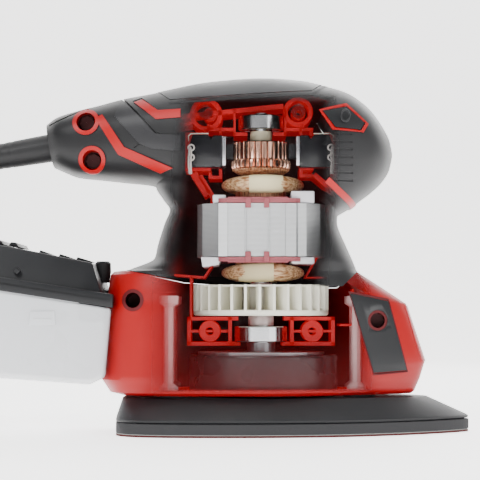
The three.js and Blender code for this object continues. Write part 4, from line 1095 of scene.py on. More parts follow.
def build_switch():
    """Slide switch: two charcoal caps on one bar, a raised ring on each cap, a red frame."""
    h = HEAD_Z
    cap = side_prism("switch_caps", switch_outline(-0.2), -23, 23)
    bar = block("bar", (33, -24, h + 8), (37, 24, h + 12))
    bodies = carve(proud_form(0.55), side_prism("zone", switch_outline(-0.2)), "INTERSECT")
    carve(bodies, cap)
    low, high = box_mm("switch_button")
    carve(bodies, block("limit", (0, low[1] - 1.5, 90), (60, high[1] + 1.5, 150)), "INTERSECT")
    rings = []
    angle, tube = around(28)[:, None], around(10)[None, :]
    across = 1.7 + 0.35 * np.cos(tube)
    x = 33.9 + across * np.cos(angle)
    z = h + 11.4 + across * np.sin(angle) * 1.35
    for side, flat in ((-1, low[1]), (1, high[1])):
        y = flat + side * 0.15 + 0.35 * np.sin(tube) + 0 * angle
        rings.append(torus_of("ring", np.stack([x, y, z], axis=2)))
    button = joined("switch_button_caps", [bodies, bar, *rings])
    give(button, look("dark"), "switch", ["switch_button"])
    frame_piece = inlay("switch_frame", switch_outline(1.5), 0.4, 0.9)
    carve(frame_piece, side_prism("frame_hole", switch_outline(0.1)))
    give(frame_piece, look("stripe_red"))


# ---- The motor ----
def build_stator():
    """Stator stack: steps and grooves run down its faces, cut from one flat outline."""
    half = [(-26.6, 0), (-26.6, -8), (-24.2, -15.4), (-18.4, -19.6), (-17.6, -20.6), (-14.0, -21.2),
            (-13.6, -20.9), (-6.9, -21.2), (-6.7, -22), (-6.2, -22), (-6.0, -21.3), (2.6, -21.3),
            (2.8, -22), (3.3, -22), (3.5, -21.2), (9.6, -20.9), (10.0, -21.3), (14.2, -21.0),
            (15.0, -20.0), (18.4, -19.6), (24.2, -15.4), (26.6, -8)]
    half = np.array(half, float)
    outline = np.vstack([half, [[26.6, 0]], (half * [1, -1])[::-1][:-1]])
    stack = prism("stator_stack_core", outline, STACK_LOW, STACK_HIGH, "z")
    carve(stack, turned("bore", rod(15, STACK_LOW - 5, STACK_HIGH + 5), 64))
    tidy(stack.data, 20)
    give(stack, look("laminated"), stands_for=["stator_stack"])


TURN_X = 0.75  # where the end turns' middle stands along X
TURN_REACH_X, TURN_REACH_Y = 14.85, 14.6  # from the middle to the centre of the bundle
STRAND_RIDGES = 26


def end_turn(low, high):
    """A bundle of strands round the armature.

    A superellipse section is carried round an ellipse in plan. The section is lower at the
    two ends than in the middle of each side, and small ridges wind slowly round it."""
    middle, reach = (low + high) / 2, (high - low) / 2
    a = around(160)[:, None]
    s = around(60)[None, :]
    height = reach * (0.42 + 0.58 * np.abs(np.sin(a)) ** 0.8)
    ridge = 1 + 0.03 * np.cos(STRAND_RIDGES * s + 6 * np.sin(2 * a))
    out = 2.5 * powered(np.cos(s), 0.85) * ridge
    up = height * powered(np.sin(s), 0.85) * ridge
    x = TURN_X + (TURN_REACH_X + out) * np.cos(a)
    y = (TURN_REACH_Y + out) * np.sin(a)
    z = middle + up
    return torus_of("end_turn", np.stack([x, y, z], axis=2), 60)


def tape(low, high, left, right, lean, side):
    """A wrap of tape round the bundle: a flat band that hugs its section."""
    middle, reach = (low + high) / 2, (high - low) / 2 + 0.25
    x = np.linspace(left, right, 15)[:, None]
    s = around(28)[None, :]
    across = np.clip((x - TURN_X) / TURN_REACH_X, -0.98, 0.98)
    bulge = np.sqrt(1 - across ** 2)
    out = 2.85 * powered(np.cos(s), 0.7)
    up = reach * (0.42 + 0.58 * bulge ** 0.8) * powered(np.sin(s), 0.7)
    wave = 1 + 0.012 * np.sin(9 * x + 3 * s)
    z = middle + up * wave + lean * x
    y = side * (TURN_REACH_Y * bulge + out * wave)
    return tube_of("tape", np.stack([x + 0 * s, y, z], axis=2), 60)


def build_windings():
    """Field coils' end turns in strands, with pale tape, insulators and terminal blocks."""
    low, high = COIL_LOW + 0.1, COIL_LOW + 7.5
    top_low, top_high = COIL_HIGH - 7.1, COIL_HIGH
    bundles = joined("field_coil_turns", [end_turn(low, high), end_turn(top_low, top_high)], 60)
    give(bundles, look("strand"),
         stands_for=["field_coil_left", "field_coil_right"])
    wraps = [tape(low, high, -9.4, 5.1, 0.03, -1), tape(low, high, -7, 7, 0, 1),
             tape(top_low, top_high, -5.0, 9.0, 0, -1), tape(top_low, top_high, -7, 7, 0, 1)]
    give(joined("winding_tape", wraps, 60), look("tape"))
    pieces = {"upper": (box_mm("upper_insulator")[0][2], box_mm("upper_insulator")[1][2], 1),
              "lower": (box_mm("lower_insulator")[0][2], box_mm("lower_insulator")[1][2], -1)}
    for word, (z0, z1, way) in pieces.items():
        outer = [(-13.6, -21.6), (10.8, -21.6), (24, -15), (26, -8), (26, 8), (24, 15),
                 (10.8, 21.6), (-13.6, 21.6), (-24, 15), (-26, 8), (-26, -8), (-24, -15)]
        board = prism("board", outer, z0, z1, "z")
        carve(board, turned("bore", rod(17.6, z0 - 5, z1 + 5), 48))
        carve(board, block("gap", (-40, -19, z0 - 3), (-13.8, 19, z1 + 3)))
        carve(board, block("gap", (11.2, -19, z0 - 3), (40, 19, z1 + 3)))
        parts = [board]
        for x0, x1 in ((-6.7, -4.3), (1.0, 3.2)):
            end = z0 - 2.2 if way > 0 else z1 + 2.2
            lo, hi = sorted((end, z0 if way < 0 else z1))
            for y0, y1 in ((-22.5, -21.2), (21.2, 22.5)):
                parts.append(block("tab", (x0, y0, lo), (x1, y1, hi), 0.2))
        lip0, lip1 = (z1 - 0.2, z1 + 0.5) if way > 0 else (z0 - 0.5, z0 + 0.2)
        parts += [block("lip", (-13.7, -21.9, lip0), (10.9, -20.4, lip1), 0.2)]
        piece = joined(f"{word}_insulator_board", parts)
        give(piece, look("dusty"), stands_for=[f"{word}_insulator"])
    front, rear = [], []
    for y0, y1 in ((-18.5, -8), (8, 18.5)):
        front += [block("b", (12.2, y0, STACK_HIGH + 0.3), (21.8, y1, STACK_HIGH + 5.2), 0.5),
                  block("b", (12.4, y0, STACK_LOW - 3.0), (21.8, y1, STACK_LOW - 0.3), 0.5)]
        rear.append(block("b", (-20, y0, STACK_HIGH + 0.3), (-14.6, y1, STACK_HIGH + 3.6), 0.5))
        outline = [(-24.9, STACK_LOW - 0.3), (-16.4, STACK_LOW - 0.3), (-17.6, STACK_LOW - 3.4),
                   (-24.2, STACK_LOW - 4.4)]
        rear.append(prism("b", outline, y0, y1, "y", 0.4))
    give(joined("terminal_blocks_front", front), look("white"),
         stands_for=["terminal_block_front"])
    give(joined("terminal_blocks_rear", rear), look("white"),
         stands_for=["terminal_block_rear"])


def build_commutator():
    """Copper bars with slots between them and a hook under each bar.

    The radius is a function of angle and height: a slot narrows it between bars, and a
    hook widens it in the middle of each bar at the lower end."""
    bars = bpy.context.scene.sander_sizes.bars
    low, high = COMMUTATOR_LOW, COMMUTATOR_HIGH
    z = np.array([low, low, low + 0.5, low + 2.7, low + 3.4, low + 3.9, low + 4.2, high - 0.4,
                  high, high])
    hook = np.array([0, 0.7, 1, 1, 0.8, 0.2, 0, 0, 0, 0])[:, None]
    base = np.array([8.0, 11.0, 11.3, 11.3, 11.3, 11.3, 11.4, 11.4, 11.1, 8.0])[:, None]
    count = bars * 12
    angle = around(count)[None, :]
    place = np.abs(((angle * bars / (2 * np.pi)) % 1) - 0.5) * 2  # 0 mid-bar, 1 mid-slot
    slot = np.clip((place - 0.8) / 0.1, 0, 1)
    tooth = 1 - np.clip((place - 0.45) / 0.12, 0, 1)
    deep = np.where(base > 9, 0.9, 0)
    radius = base - deep * slot + 1.15 * hook * tooth
    rings = np.stack([radius * np.cos(angle), radius * np.sin(angle), z[:, None] + 0 * angle],
                     axis=2)
    give(tube_of("commutator_bars", rings, 25), look("bar"), "rotor", ["commutator"])
    profile = [(5, low - 3.1), (6.5, low - 3.1), (9.6, low - 2.2), (11.7, low - 0.6),
               (11.9, low - 0.1), (5, low - 0.1)]
    leads = turned("commutator_leads", profile, 240, wave=lambda a: 1 + 0.02 * np.cos(60 * a))
    give(leads, look("copper_wire"), "rotor")


def build_fan():
    """Cooling fan: a disc with a rim, upright blades near its edge and a stepped hub."""
    low = FAN_LOW
    disc = [(7, low), (27.6, low), (28.3, low + 0.6), (28.3, low + 1.7), (27.8, low + 2.3),
            (14, low + 2.3), (12, low + 2.6), (7, low + 2.6)]
    parts = [turned("disc", disc, 96)]
    blades = bpy.context.scene.sander_sizes.fan_blades
    for angle in around(blades):
        turn = np.array([[math.cos(angle), -math.sin(angle)], [math.sin(angle), math.cos(angle)]])
        r = np.linspace(16.5, 28.2, 5)
        bow = 2.2 * ((r - 16.5) / 11.7) ** 2
        line = np.stack([r, bow], axis=1)
        outline = strip(line, 1.1) @ turn.T
        parts.append(prism("blade", outline, low + 2, low + 12.7, "z"))
    web = [(15.5, low + 11.9), (26.5, low + 11.9), (26.5, low + 12.5), (15.5, low + 12.5)]
    parts.append(turned("web", web, 96))
    hub = [(4.2, low + 0.2), (7, low + 0.2), (7, low + 11.6), (6.4, low + 12.2), (4.2, low + 12.2)]
    parts.append(turned("hub", hub, 48))
    collar = [(4.2, low + 12), (4.6, low + 12), (4.6, low + 13.6), (4.2, low + 13.6)]
    give(turned("fan_collar", collar, 40), look("pale"), "rotor")
    give(joined("fan_wheel", parts, 30), look("cream"), "rotor", ["fan"])


def bearing(name, rotor_node, root_node, outer, inner, low, high):
    """Ball bearing: a ring each side of a shield, all with softened edges."""
    wide = [(outer - 1.9, low), (outer - 0.4, low), (outer, low + 0.4), (outer, high - 0.4),
            (outer - 0.4, high), (outer - 1.9, high)]
    shield = [(inner + 1.9, low + 0.4), (outer - 1.95, low + 0.4), (outer - 1.95, high - 0.4),
              (inner + 1.9, high - 0.4)]
    ring = [(inner, low + 0.3), (inner + 0.3, low), (inner + 1.8, low), (inner + 1.8, high),
            (inner + 0.3, high), (inner, high - 0.3)]
    parts = [turned("w", wide, 72), turned("s", shield, 72)]
    give(joined(f"{name}_outer_race", parts), look("steel"), "root",
         [root_node])
    give(turned(f"{name}_inner_race", ring, 48), look("steel"), "rotor",
         [rotor_node])


def build_bearings():
    """The two ball bearings of the motor."""
    bearing("upper_bearing", "upper_bearing_inner", "upper_bearing_outer", 9.5, 3.3,
            BEARING_LOW, BEARING_HIGH)
    bearing("lower_bearing", "lower_bearing_inner", "lower_bearing_outer", 11, 4.3,
            LOWER_BEARING_LOW, LOWER_BEARING_HIGH)


def build_shaft_parts():
    """A sleeve on the shaft and the bush under the upper bearing."""
    low, high = box_mm("insulating_bush")
    bush = [(3.3, low[2]), (4.4, low[2]), (4.5, low[2] + 0.4), (4.5, high[2] - 0.4), (4.3, high[2]),
            (3.3, high[2])]
    give(turned("bush_sleeve", bush, 40), look("bush"), "rotor",
         ["insulating_bush"])
    sleeve_low, sleeve_high = LOWER_BEARING_HIGH + 0.3, FAN_LOW - 0.2
    spacer = [(4.05, sleeve_low), (5.2, sleeve_low), (5.3, sleeve_low + 0.3),
              (5.3, sleeve_high - 0.3), (5.1, sleeve_high), (4.05, sleeve_high)]
    give(turned("shaft_spacer", spacer, 40), look("pale_steel"), "rotor")


def build_brushes():
    """Brush holders: black mouldings with a silver mouth, terminals and a cream edge."""
    for side, word in ((-1, "rear"), (1, "front")):
        z = BRUSH_Z
        shape = [(16.2, z - 6.9), (29.8, z - 6.9), (29.8, z + 3.2), (28.6, z + 6.9), (22.2, z + 6.9),
                 (20.8, z + 4.9), (20, z + 6.6), (16.2, z + 6.6)]
        outline = np.array(shape, float) * [side, 1]
        body = prism("body", outline, -6, 6, "y", 0.5)
        seam = prism("seam", np.array([(16.4, z - 0.5), (29.6, z - 0.5), (29.6, z - 0.1),
                                       (16.4, z - 0.1)]) * [side, 1], -6.25, -5.8, "y")
        holder = joined(f"brush_holder_{word}_body", [body, seam])
        give(holder, look("holder"), stands_for=[f"brush_holder_{word}"])
        x0, x1 = sorted((14.7 * side, 16.3 * side))
        mouth = block("mouth", (x0, -5.6, z - 6.2), (x1, 5.6, z + 6.2), 0.3)
        carve(mouth, block("hole", (x0 - 3, -3.4, z - 3.4), (x1 + 3, 3.4, z + 3.4)))
        give(mouth, look("plate"))
        mouth.name = f"brush_mouth_{word}"
        edge = strip(np.array([(22, z + 7.3), (29.2, z + 7.3), (30.3, z + 6.4), (30.3, z + 4.2)])
                     * [side, 1], 0.35)
        line = prism(f"holder_edge_{word}", edge, -5.4, -4.9, "y")
        give(line, look("cream"))
        loops = []
        for dz in (1.3, -2.8):
            a = around(24)[:, None]
            t = around(8)[None, :]
            r = 1.25 + 0.32 * np.cos(t)
            x = side * 29.2 + r * np.cos(a)
            loops.append(torus_of("loop", np.stack(
                [x, -6.9 + 0.32 * np.sin(t) + 0 * a, z + dz + r * np.sin(a)], axis=2)))
        for dx, top in ((0.3, 1.6), (1.2, 0.4)):
            path = [(side * (29.4 + dx * 0.5), -6.6, z + top), (side * (28.9 + dx), -7.2, z - 1.5),
                    (side * (29.1 + dx), -7, z - 5), (side * (29.0 + dx * 0.8), -5, z - 9.5)]
            loops.append(wire("lead", path, 0.42, 8, 8))
        give(joined(f"brush_terminal_{word}", loops), look("white_lead"))


# ---- The pad ----
PAD_HALF, PAD_REAR, PAD_TIP = 46.5, -60.2, 85.9
PAD_REAR_SHARE, PAD_TIP_SHARE = 0.2, 1.5  # how much of an inset draws in each end
PAD_STEPS = 26  # points along each run of the outline


def pad_outline(inset):
    """The pad's outline: three cubic Bezier runs on one side, mirrored, then drawn in."""
    half, rear = PAD_HALF - inset, PAD_REAR + inset * PAD_REAR_SHARE
    tip = PAD_TIP - inset * PAD_TIP_SHARE
    runs = [[(rear, 0.5), (rear, 0.86), (rear + 12, 0.93), (rear + 22, 0.965)],
            [(rear + 22, 0.965), (-22, 1.01), (8, 1.01), (30, 0.86)],
            [(30, 0.86), (58, 0.66), (tip - 3, 0.2), (tip, 0)]]
    runs = np.array(runs, float) * [1, half]
    t = np.linspace(0, 1, PAD_STEPS, endpoint=False)[:, None, None]
    a, b, c, d = (runs[None, :, i] for i in range(4))
    curve = (1 - t) ** 3 * a + 3 * (1 - t) ** 2 * t * b + 3 * (1 - t) * t * t * c + t ** 3 * d
    side = curve.transpose(1, 0, 2).reshape(-1, 2)
    lower = side * [1, -1]
    whole = np.vstack([lower, [[tip, 0]], side[::-1][:-1], side[:1]])
    return whole + [ORBIT, 0]


def pad_stack(name, levels):
    """Rings of the pad's outline at heights, each with its own inset."""
    rings = [np.column_stack([pad_outline(inset), np.full(len(pad_outline(inset)), z)])
             for z, inset in levels]
    return tube_of(name, rings, 28)


def build_pad():
    """Backing plate with its bevel and ridge, foam, and the sanding sheet."""
    low, high = box_mm("pad_base")[0][2], SKIRT_LOW - 1.1
    base = pad_stack("pad_base_plate", [(low, 0.5), (low + 0.3, 0.15), (low + 1.0, 0.1),
                                        (low + 1.8, 1.0), (high - 0.5, 11.2), (high, 12.0)])
    sockets = []
    for place in ("rear_left", "rear_right", "front_left", "front_right"):
        post = box_mm(f"post_{place}")
        x, y = (post[0][0] + post[1][0]) / 2 + ORBIT, (post[0][1] + post[1][1]) / 2
        profile = [(5.4, high - 2), (6.8, high - 2), (6.8, high + 2.6), (6.4, high + 2.9),
                   (5.8, high + 2.9), (5.4, high + 2.6)]
        sockets.append(turned("socket", profile, 40, (x, y)))
    give(joined("pad_base_moulding", [base, *sockets]), look("base"), "pad",
         ["pad_base"])
    foam_low, foam_high = box_mm("foam_pad")[0][2], box_mm("foam_pad")[1][2]
    foam = pad_stack("foam_cushion", [(foam_low, 0.3), (foam_low + 0.3, 0), (foam_high - 0.3, 0),
                                      (foam_high, 0.3)])
    give(foam, look("foam"), "pad", ["foam_pad"])
    loop_layer = pad_stack("loop_layer", [(foam_low - 0.28, 0.25), (foam_low - 0.02, 0.25)])
    give(loop_layer, look("felt"), "pad")
    sheet = pad_stack("sanding_disc", [(0, 0.1), (0.8, 0.1)])
    give(sheet, look("sanding"), "pad", ["sanding_sheet"])


def build_drum():
    """The drum that carries the pad's bearing: turned, with fine level ridges."""
    low, high = DRUM_LOW, DRUM_HIGH
    steps = np.linspace(low + 0.6, high - 0.6, 34)
    wave = 30.9 + 0.07 * np.cos(np.arange(34) * np.pi)
    profile = [(2.6 + 4, low), (30.2, low), *zip(wave, steps), (30.5, high), (28.5, high),
               (28.5, low + 2.4), (13.5, low + 2.4), (13.5, low + 9.4), (11.5, low + 9.4),
               (11.5, low + 1.2), (6.6, low + 1.2)]
    drum = turned("pad_drum", profile, 96, (ORBIT, 0), 50)
    give(drum, look("drum"), "pad", ["pad_hub"])


# ---- The dust box ----
RIM_TILT = 0.153
BOX_FRONT, BOX_REAR = -60.0, -150.0


def rim_at(x):
    """The height of the dust box's sloping rim."""
    return 51.1 + (BOX_FRONT - x) * RIM_TILT


def box_outline(wall):
    """The dust box's side outline, drawn in by a wall."""
    over = 9 if wall else 0
    return [(BOX_FRONT - 1 - wall, rim_at(BOX_FRONT - 1) + over),
            (BOX_FRONT - 3.4 - wall, 23.5 + wall), (BOX_FRONT - 9.3, 20.5 + wall),
            (BOX_REAR + 18, 25 + wall), (BOX_REAR + 3 + wall, 36.5),
            (BOX_REAR + wall, rim_at(BOX_REAR) + over)]


def box_form(wall, bevel):
    """The dust box as a solid, drawn in by a wall."""
    half = 32 - wall
    return prism("box_form", box_outline(wall), -half, half, "y", bevel)


def lid_form(wall):
    """Band and crown of the lid in one solid, drawn in by the wall."""
    def lift(x, up):
        return rim_at(x) + 0.3 + up
    top, low = 19 - wall, -9 if wall else 0
    front, rear = BOX_FRONT - wall, BOX_REAR + wall
    half = 32.5 - wall
    band = [(front, lift(front, low)), (front, lift(front, 5.5 - wall)),
            (rear, lift(rear, 5.5 - wall)), (rear, lift(rear, low))]
    crown = [(front - 3, lift(front, low)), (front - 8.9, lift(front - 8.9, top - 2)),
             (front - 43, lift(front - 43, top - 0.5)), (rear + 9, lift(rear + 9, top)),
             (rear + 3, lift(rear + 3, top - 7)), (rear + 3, lift(rear, low))]
    first = prism("band", band, -half, half, "y", 0 if wall else 0.5)
    crown = np.array(crown)
    height = (crown[:, 1] - rim_at(crown[:, 0]) - 5) / (top - 5)
    slope = np.clip(height, 0, 1) * 5.5
    rings = np.empty((2, len(crown), 3))
    rings[:, :, 0], rings[:, :, 2] = crown[:, 0], crown[:, 1]
    rings[0, :, 1], rings[1, :, 1] = -(half - 2.2 - slope), half - 2.2 - slope
    second = tube_of("crown", rings)
    if not wall:
        round_edges(second, 0.8)
    return carve(first, second, "UNION")


def skirt_block(gap):
    """The casing grown by a gap, to cut clearance."""
    return form(f"box_clear_{gap}", -gap, -gap)


def build_dust_box():
    """Frosted dust box, its charcoal lid with ribs, clip line, latch and knob."""
    body = box_form(0, 1.2)
    carve(body, box_form(2, 0))
    carve(body, skirt_block(0.6))
    carve(body, spigot_hole(7.5))
    body.name = "dust_box_shell"
    tidy(body.data, 30)
    give(body, look("frosted"), "dust_box", ["dust_box"])
    lid = lid_form(0)
    carve(lid, lid_form(2))
    carve(lid, skirt_block(0.6))
    carve(lid, spigot_hole(7.5))
    carve(lid, block("notch", (-80, -7.4, 30), (-40, 7.4, SPIGOT_Z + 0.5)))
    below = [(-300, rim_at(-300) + 0.3), (0, rim_at(0) + 0.3), (0, 0), (-300, 0)]
    carve(lid, side_prism("below", below))
    groove = strip([(-149, rim_at(-149) + 3.4), (-61, rim_at(-61) + 3.4)], 0.7)
    groove_cut = side_prism("groove", groove)
    carve(groove_cut, block("core", (-170, -32.0, 20), (-40, 32.0, 120)))
    carve(lid, groove_cut)
    recess = [(-96, rim_at(-96) + 7.4), (-80, rim_at(-80) + 7.8), (-78, rim_at(-78) + 10.6),
              (-98, rim_at(-98) + 10.4)]
    recess_cut = side_prism("recess", recess)
    carve(recess_cut, block("core", (-170, -28.6, 20), (-40, 28.6, 120)))
    carve(lid, recess_cut)
    ribs = []
    for i in range(7):
        x = -101.5 - i * 6.2
        z = rim_at(x) + 19.3
        shape = [(x - 2.2, z + 0.2), (x - 1.2, z + 1.7), (x + 0.9, z + 1.5), (x + 2.0, z - 0.3)]
        ribs.append(prism("rib", shape, -19.5, 19.5, "y", 0.3))
    for x, size in ((-88.5, 1.5), (-80.4, 1.2), (-73.2, 1.0)):
        z = rim_at(x) + 18.2
        shape = [(x - 3.0, z - 0.6), (x - 2.2, z + size), (x + 2.4, z - 0.4)]
        ribs.append(prism("rib", shape, -19.5, 19.5, "y", 0.2))
    arrow = [(-100.6, rim_at(-100) + 9.2), (-99.2, rim_at(-100) + 10.6), (-97.4, rim_at(-98) + 9.4),
             (-98.9, rim_at(-99) + 7.9)]
    ribs.append(prism("peg", arrow, -30.4, -26.6, "y", 0.2))
    cover = joined("dust_lid_cover", [lid, *ribs])
    tidy(cover.data, 30)
    give(cover, look("lid"), "dust_lid", ["dust_lid"])
    pleats = np.linspace(-134, -82, 105)
    z = rim_at(pleats) + 14.3
    fold = 1.3 * (np.abs((np.arange(105) % 8) - 4) / 2 - 1)
    outline = np.vstack([np.column_stack([pleats, z + fold + 0.6]),
                         np.column_stack([pleats, z + fold - 0.6])[::-1]])
    give(prism("filter_pleats", outline, -21.5, 21.5, "y"), look("felt"), "dust_lid",
         ["dust_filter"])
    latch_side = []
    for y0, y1 in ((-32.7, -31.6), (31.6, 32.7)):
        latch_side.append(prism("latch", [(-94, 44.3), (-83, 44.6), (-83.4, 50.3), (-93.2, 50.1)],
                                y0, y1, "y", 0.35))
        latch_side.append(block("bar", (-92.2, y0 - 0.2 if y0 < 0 else y0, 46.3),
                                (-84.9, y1 if y0 < 0 else y1 + 0.2, 47.2), 0.2))
    give(joined("dust_box_latch", latch_side), look("frosted"), "dust_box")
    knob = turned("lid_knob", [(0.01, 62), (3.1, 62), (3.4, 66.6), (3.3, 70.2), (2.5, 71), (0.01, 71)],
                  32, (-66.3, 0))
    carve(knob, skirt_block(0.6))
    give(knob, look("rubber"), "dust_lid")


# ---- The lead ----
CORD_POINTS = [
    (-130.8, 0, boot_axis(-130.8)), (-141, 0, boot_axis(-141)), (-153, 0.8, boot_axis(-153) - 0.4),
    (-165, 3.2, boot_axis(-165) - 1.7), (-176, 7, boot_axis(-176) - 5.5), (-186, 11.6, 89.6),
    (-194.5, 16.6, 78.4), (-201.5, 21.8, 65.3), (-207, 27, 51.2), (-211, 33, 37),
    (-214, 40.5, 23.5), (-215.7, 49.5, 13.3), (-216, 59.5, 6.8),
]
COIL_CENTRE = np.array([-170.0, 62.0])
COIL_PITCH = 6.6
COIL_MEAN = 36.0
COIL_LEVEL = 4.5
COIL_START = 170.0  # degrees round the coil where the lead joins it
PLUG_PLACE = (-195.0, 54.0)  # where the lead enters the plug


def eased(value, start, end):
    """Nought before start, one after end, with an eased step between."""
    share = np.clip((value - start) / (end - start), 0, 1)
    return share * share * (3 - 2 * share)


def coil_route():
    """Turns clockwise from the start: in under, up, out over, then across the top.

    The lower layer is a spiral inwards and the upper one a spiral outwards, one pitch
    apart. The tail climbs over the turn inside it on a circular arc, and spirals in."""
    end = 6 + (COIL_START + 180) / 360
    t = np.linspace(0, end, 190)
    outer, inner = COIL_MEAN + 1.5 * COIL_PITCH, COIL_MEAN - 1.5 * COIL_PITCH
    climb = eased(t, 3, 3.5)
    radius = np.where(t < 3, outer - COIL_PITCH * t, inner + COIL_PITCH * np.maximum(t - 3.5, 0))
    radius = radius - 0.7 * np.sin(np.pi * climb)
    level = COIL_LEVEL + COIL_PITCH * climb
    over = eased(t, 6.12, 6.46) * np.pi / 2
    neighbour = radius - COIL_PITCH
    radius = np.where(over > 0, neighbour + (COIL_PITCH + 0.05) * np.cos(over), radius)
    level = level + (COIL_PITCH + 0.05) * np.sin(over) + 2.4 * eased(t, 6.55, 6.95)
    inwards = eased(t, 6.4, end)
    radius = radius * (1 - inwards) + 25 * inwards
    angle = np.radians(COIL_START) - 2 * np.pi * t
    x = COIL_CENTRE[0] + radius * np.cos(angle)
    y = COIL_CENTRE[1] + radius * np.sin(angle) - 12 * inwards
    return np.column_stack([x, y, level])


def plug_pieces(centre):
    """A generic two-pin plug: a superellipse section swept along its length, with grips."""
    px, py = PLUG_PLACE
    rows = [(0, 3.7, 3.7), (4, 4.2, 4.2), (8, 4.3, 4.3), (14, 7.6, 5.2), (19, 9, 5.5),
            (29, 9, 5.5), (33.4, 7.2, 4.8), (34, 6.4, 4)]
    a = around(40)[None, :]
    rows = smooth_rows(rows, 4)
    wide, tall = rows[:, 1:2], rows[:, 2:3]
    body = np.stack([px + wide * powered(np.cos(a), 0.7), py + rows[:, :1] + 0 * a,
                     centre + tall * powered(np.sin(a), 0.7)], axis=2)
    parts = [tube_of("shell", body, 40)]
    b = around(8)[:, None]
    for y in (21, 24, 27):
        parts.append(torus_of("grip", np.stack([
            px + (8.7 + 0.5 * np.cos(b)) * powered(np.cos(a), 0.7),
            py + y + 0.6 * np.sin(b) + 0 * a,
            centre + (5.2 + 0.4 * np.cos(b)) * powered(np.sin(a), 0.7)], axis=2)))
    pins = []
    for dx in (-4.6, 4.6):
        rows = np.array([(32.5, 2), (51, 2), (51.7, 1.6), (52, 1.0)])
        grid = np.stack([px + dx + rows[:, 1:] * np.cos(a), py + rows[:, :1] + 0 * a,
                         centre + rows[:, 1:] * np.sin(a)], axis=2)
        pins.append(tube_of("pin", grid))
    plug = give(joined("plug_body", parts), look("rubber"),
                stands_for=["plug"])
    prongs = give(joined("plug_pins", pins), look("steel"))
    return plug, prongs


def tie_strap():
    """A flat strap round the coil's section: a squarish loop, given a width and a wall."""
    low, high = box_mm("cord_tie")
    middle = (low + high) / 2
    reach = (high - low) / 2
    s = around(64)
    loops = []
    for x, wall in ((low[0] + 0.3, 0), (high[0] - 0.3, 0), (high[0] - 0.3, 0.75),
                    (low[0] + 0.3, 0.75)):
        y = middle[1] + (reach[1] - 0.1 - wall) * powered(np.cos(s), 0.22)
        z = middle[2] + (reach[2] - 0.05 - wall) * powered(np.sin(s), 0.22)
        loops.append(np.column_stack([np.full(64, x), y, z]))
    return give(torus_of("lead_tie", loops, 30), look("rubber"),
                stands_for=["cord_tie"])


def build_cord():
    """Mains lead: loose from the boot, then coiled flat beside the sander, to its plug."""
    sizes = bpy.context.scene.sander_sizes
    coil = coil_route()
    fall = flowing(np.vstack([np.array(CORD_POINTS), coil[:1], coil[2:3]]), 4)[:-4]
    leave = np.array([(PLUG_PLACE[0], PLUG_PLACE[1] + 1.5, coil[-1][2])])
    route = np.vstack([fall, coil[1:], leave])
    lead = wire("mains_lead", route, sizes.cord_diameter / MM / 2, 14)
    give(lead, look("rubber"), stands_for=["cord", "cord_coil"])
    tie = tie_strap()
    plug, prongs = plug_pieces(coil[-1][2])


def build_boot():
    """Tapered strain relief with a flange and shallow grooves."""
    x = np.linspace(-129.6, -86, 60)
    share = (x + 130) / 44
    radius = 4.7 + 1.25 * np.clip(share, 0, 1) ** 0.8
    flex = (x < -104) & (x > -126)
    radius = radius - np.where(flex, 0.16 * (0.5 + 0.5 * np.cos((x + 126) * 2 * np.pi / 3.6)), 0)
    profile = [(3.3, -130), (4.4, -130), *zip(radius, x), (5.95, -84.2), (7.9, -84), (7.9, -80.6),
               (3.3, -80.6)]
    boot = boot_turned("cord_boot_sleeve", profile, 48)
    give(boot, look("rubber"), stands_for=["cord_boot"])


# ---- Finishes of the frame's own nodes, the stage and the camera ----
NODE_LOOKS = {
    "pale_post": ["post_rear_right", "post_rear_left", "post_front_right", "post_front_left"],
    "dark_screw": ["screw_handle_upper", "screw_handle_lower", "screw_skirt_rear",
                   "screw_skirt_front"],
    "dull_steel": ["eccentric"],
    "ghost_steel": ["screw_head_rear", "screw_head_front"],
    "dark": ["dust_spigot", "switch_body"],
    "steel": ["motor_shaft", "brush_spring_rear", "brush_spring_front", "pad_bearing_inner",
              "pad_bearing_outer"],
    "laminated": ["armature_core"],
    "copper_wire": ["armature_winding"],
    "carbon": ["carbon_brush_rear", "carbon_brush_front"],
}


def finish_nodes():
    """Gives each node of the frame that stays in view its finish."""
    for finish, names in NODE_LOOKS.items():
        for name in names:
            data = bpy.data.objects[name].data
            data.materials.clear()
            data.materials.append(look(finish))


def area_light(name, place, aim, size, power):
    """A soft square light at a place, turned towards a point."""
    lamp = bpy.data.lights.new(name, "AREA")
    lamp.size = size
    lamp.energy = power
    thing = bpy.data.objects.new(name, lamp)
    bpy.context.scene.collection.objects.link(thing)
    thing.location = place
    thing.rotation_euler = (Vector(aim) - Vector(place)).to_track_quat("-Z", "Y").to_euler()


# The sweep, in millimetres. Its wall stands far enough off for a camera behind the sander.
FLOOR_FRONT, BEND_START, BEND_RADIUS = -4000, 1350, 1080
WALL_TOP, SWEEP_HALF = 4300, 5900.0
# The lights: place and aim in metres, size in metres, and power in watts.
LIGHTS = {
    "key": ((-0.45, -0.75, 0.75), (0, 0, 0.08), 0.5, 7),
    "fill": ((0.75, -0.6, 0.35), (0, 0, 0.08), 0.6, 2.5),
    "top": ((0, 0.05, 0.9), (0, 0, 0.1), 0.7, 6),
    "behind": ((0.2, 0.8, 0.6), (0, 0, 0.1), 0.6, 4),
}
WORLD_STRENGTH = 0.36
CAMERA_PLACE, CAMERA_AIM = (-0.0088, -0.795, 0.050), (-0.0088, 0, 0.080)
CAMERA_LENS, CAMERA_SENSOR = 142, 36  # millimetres


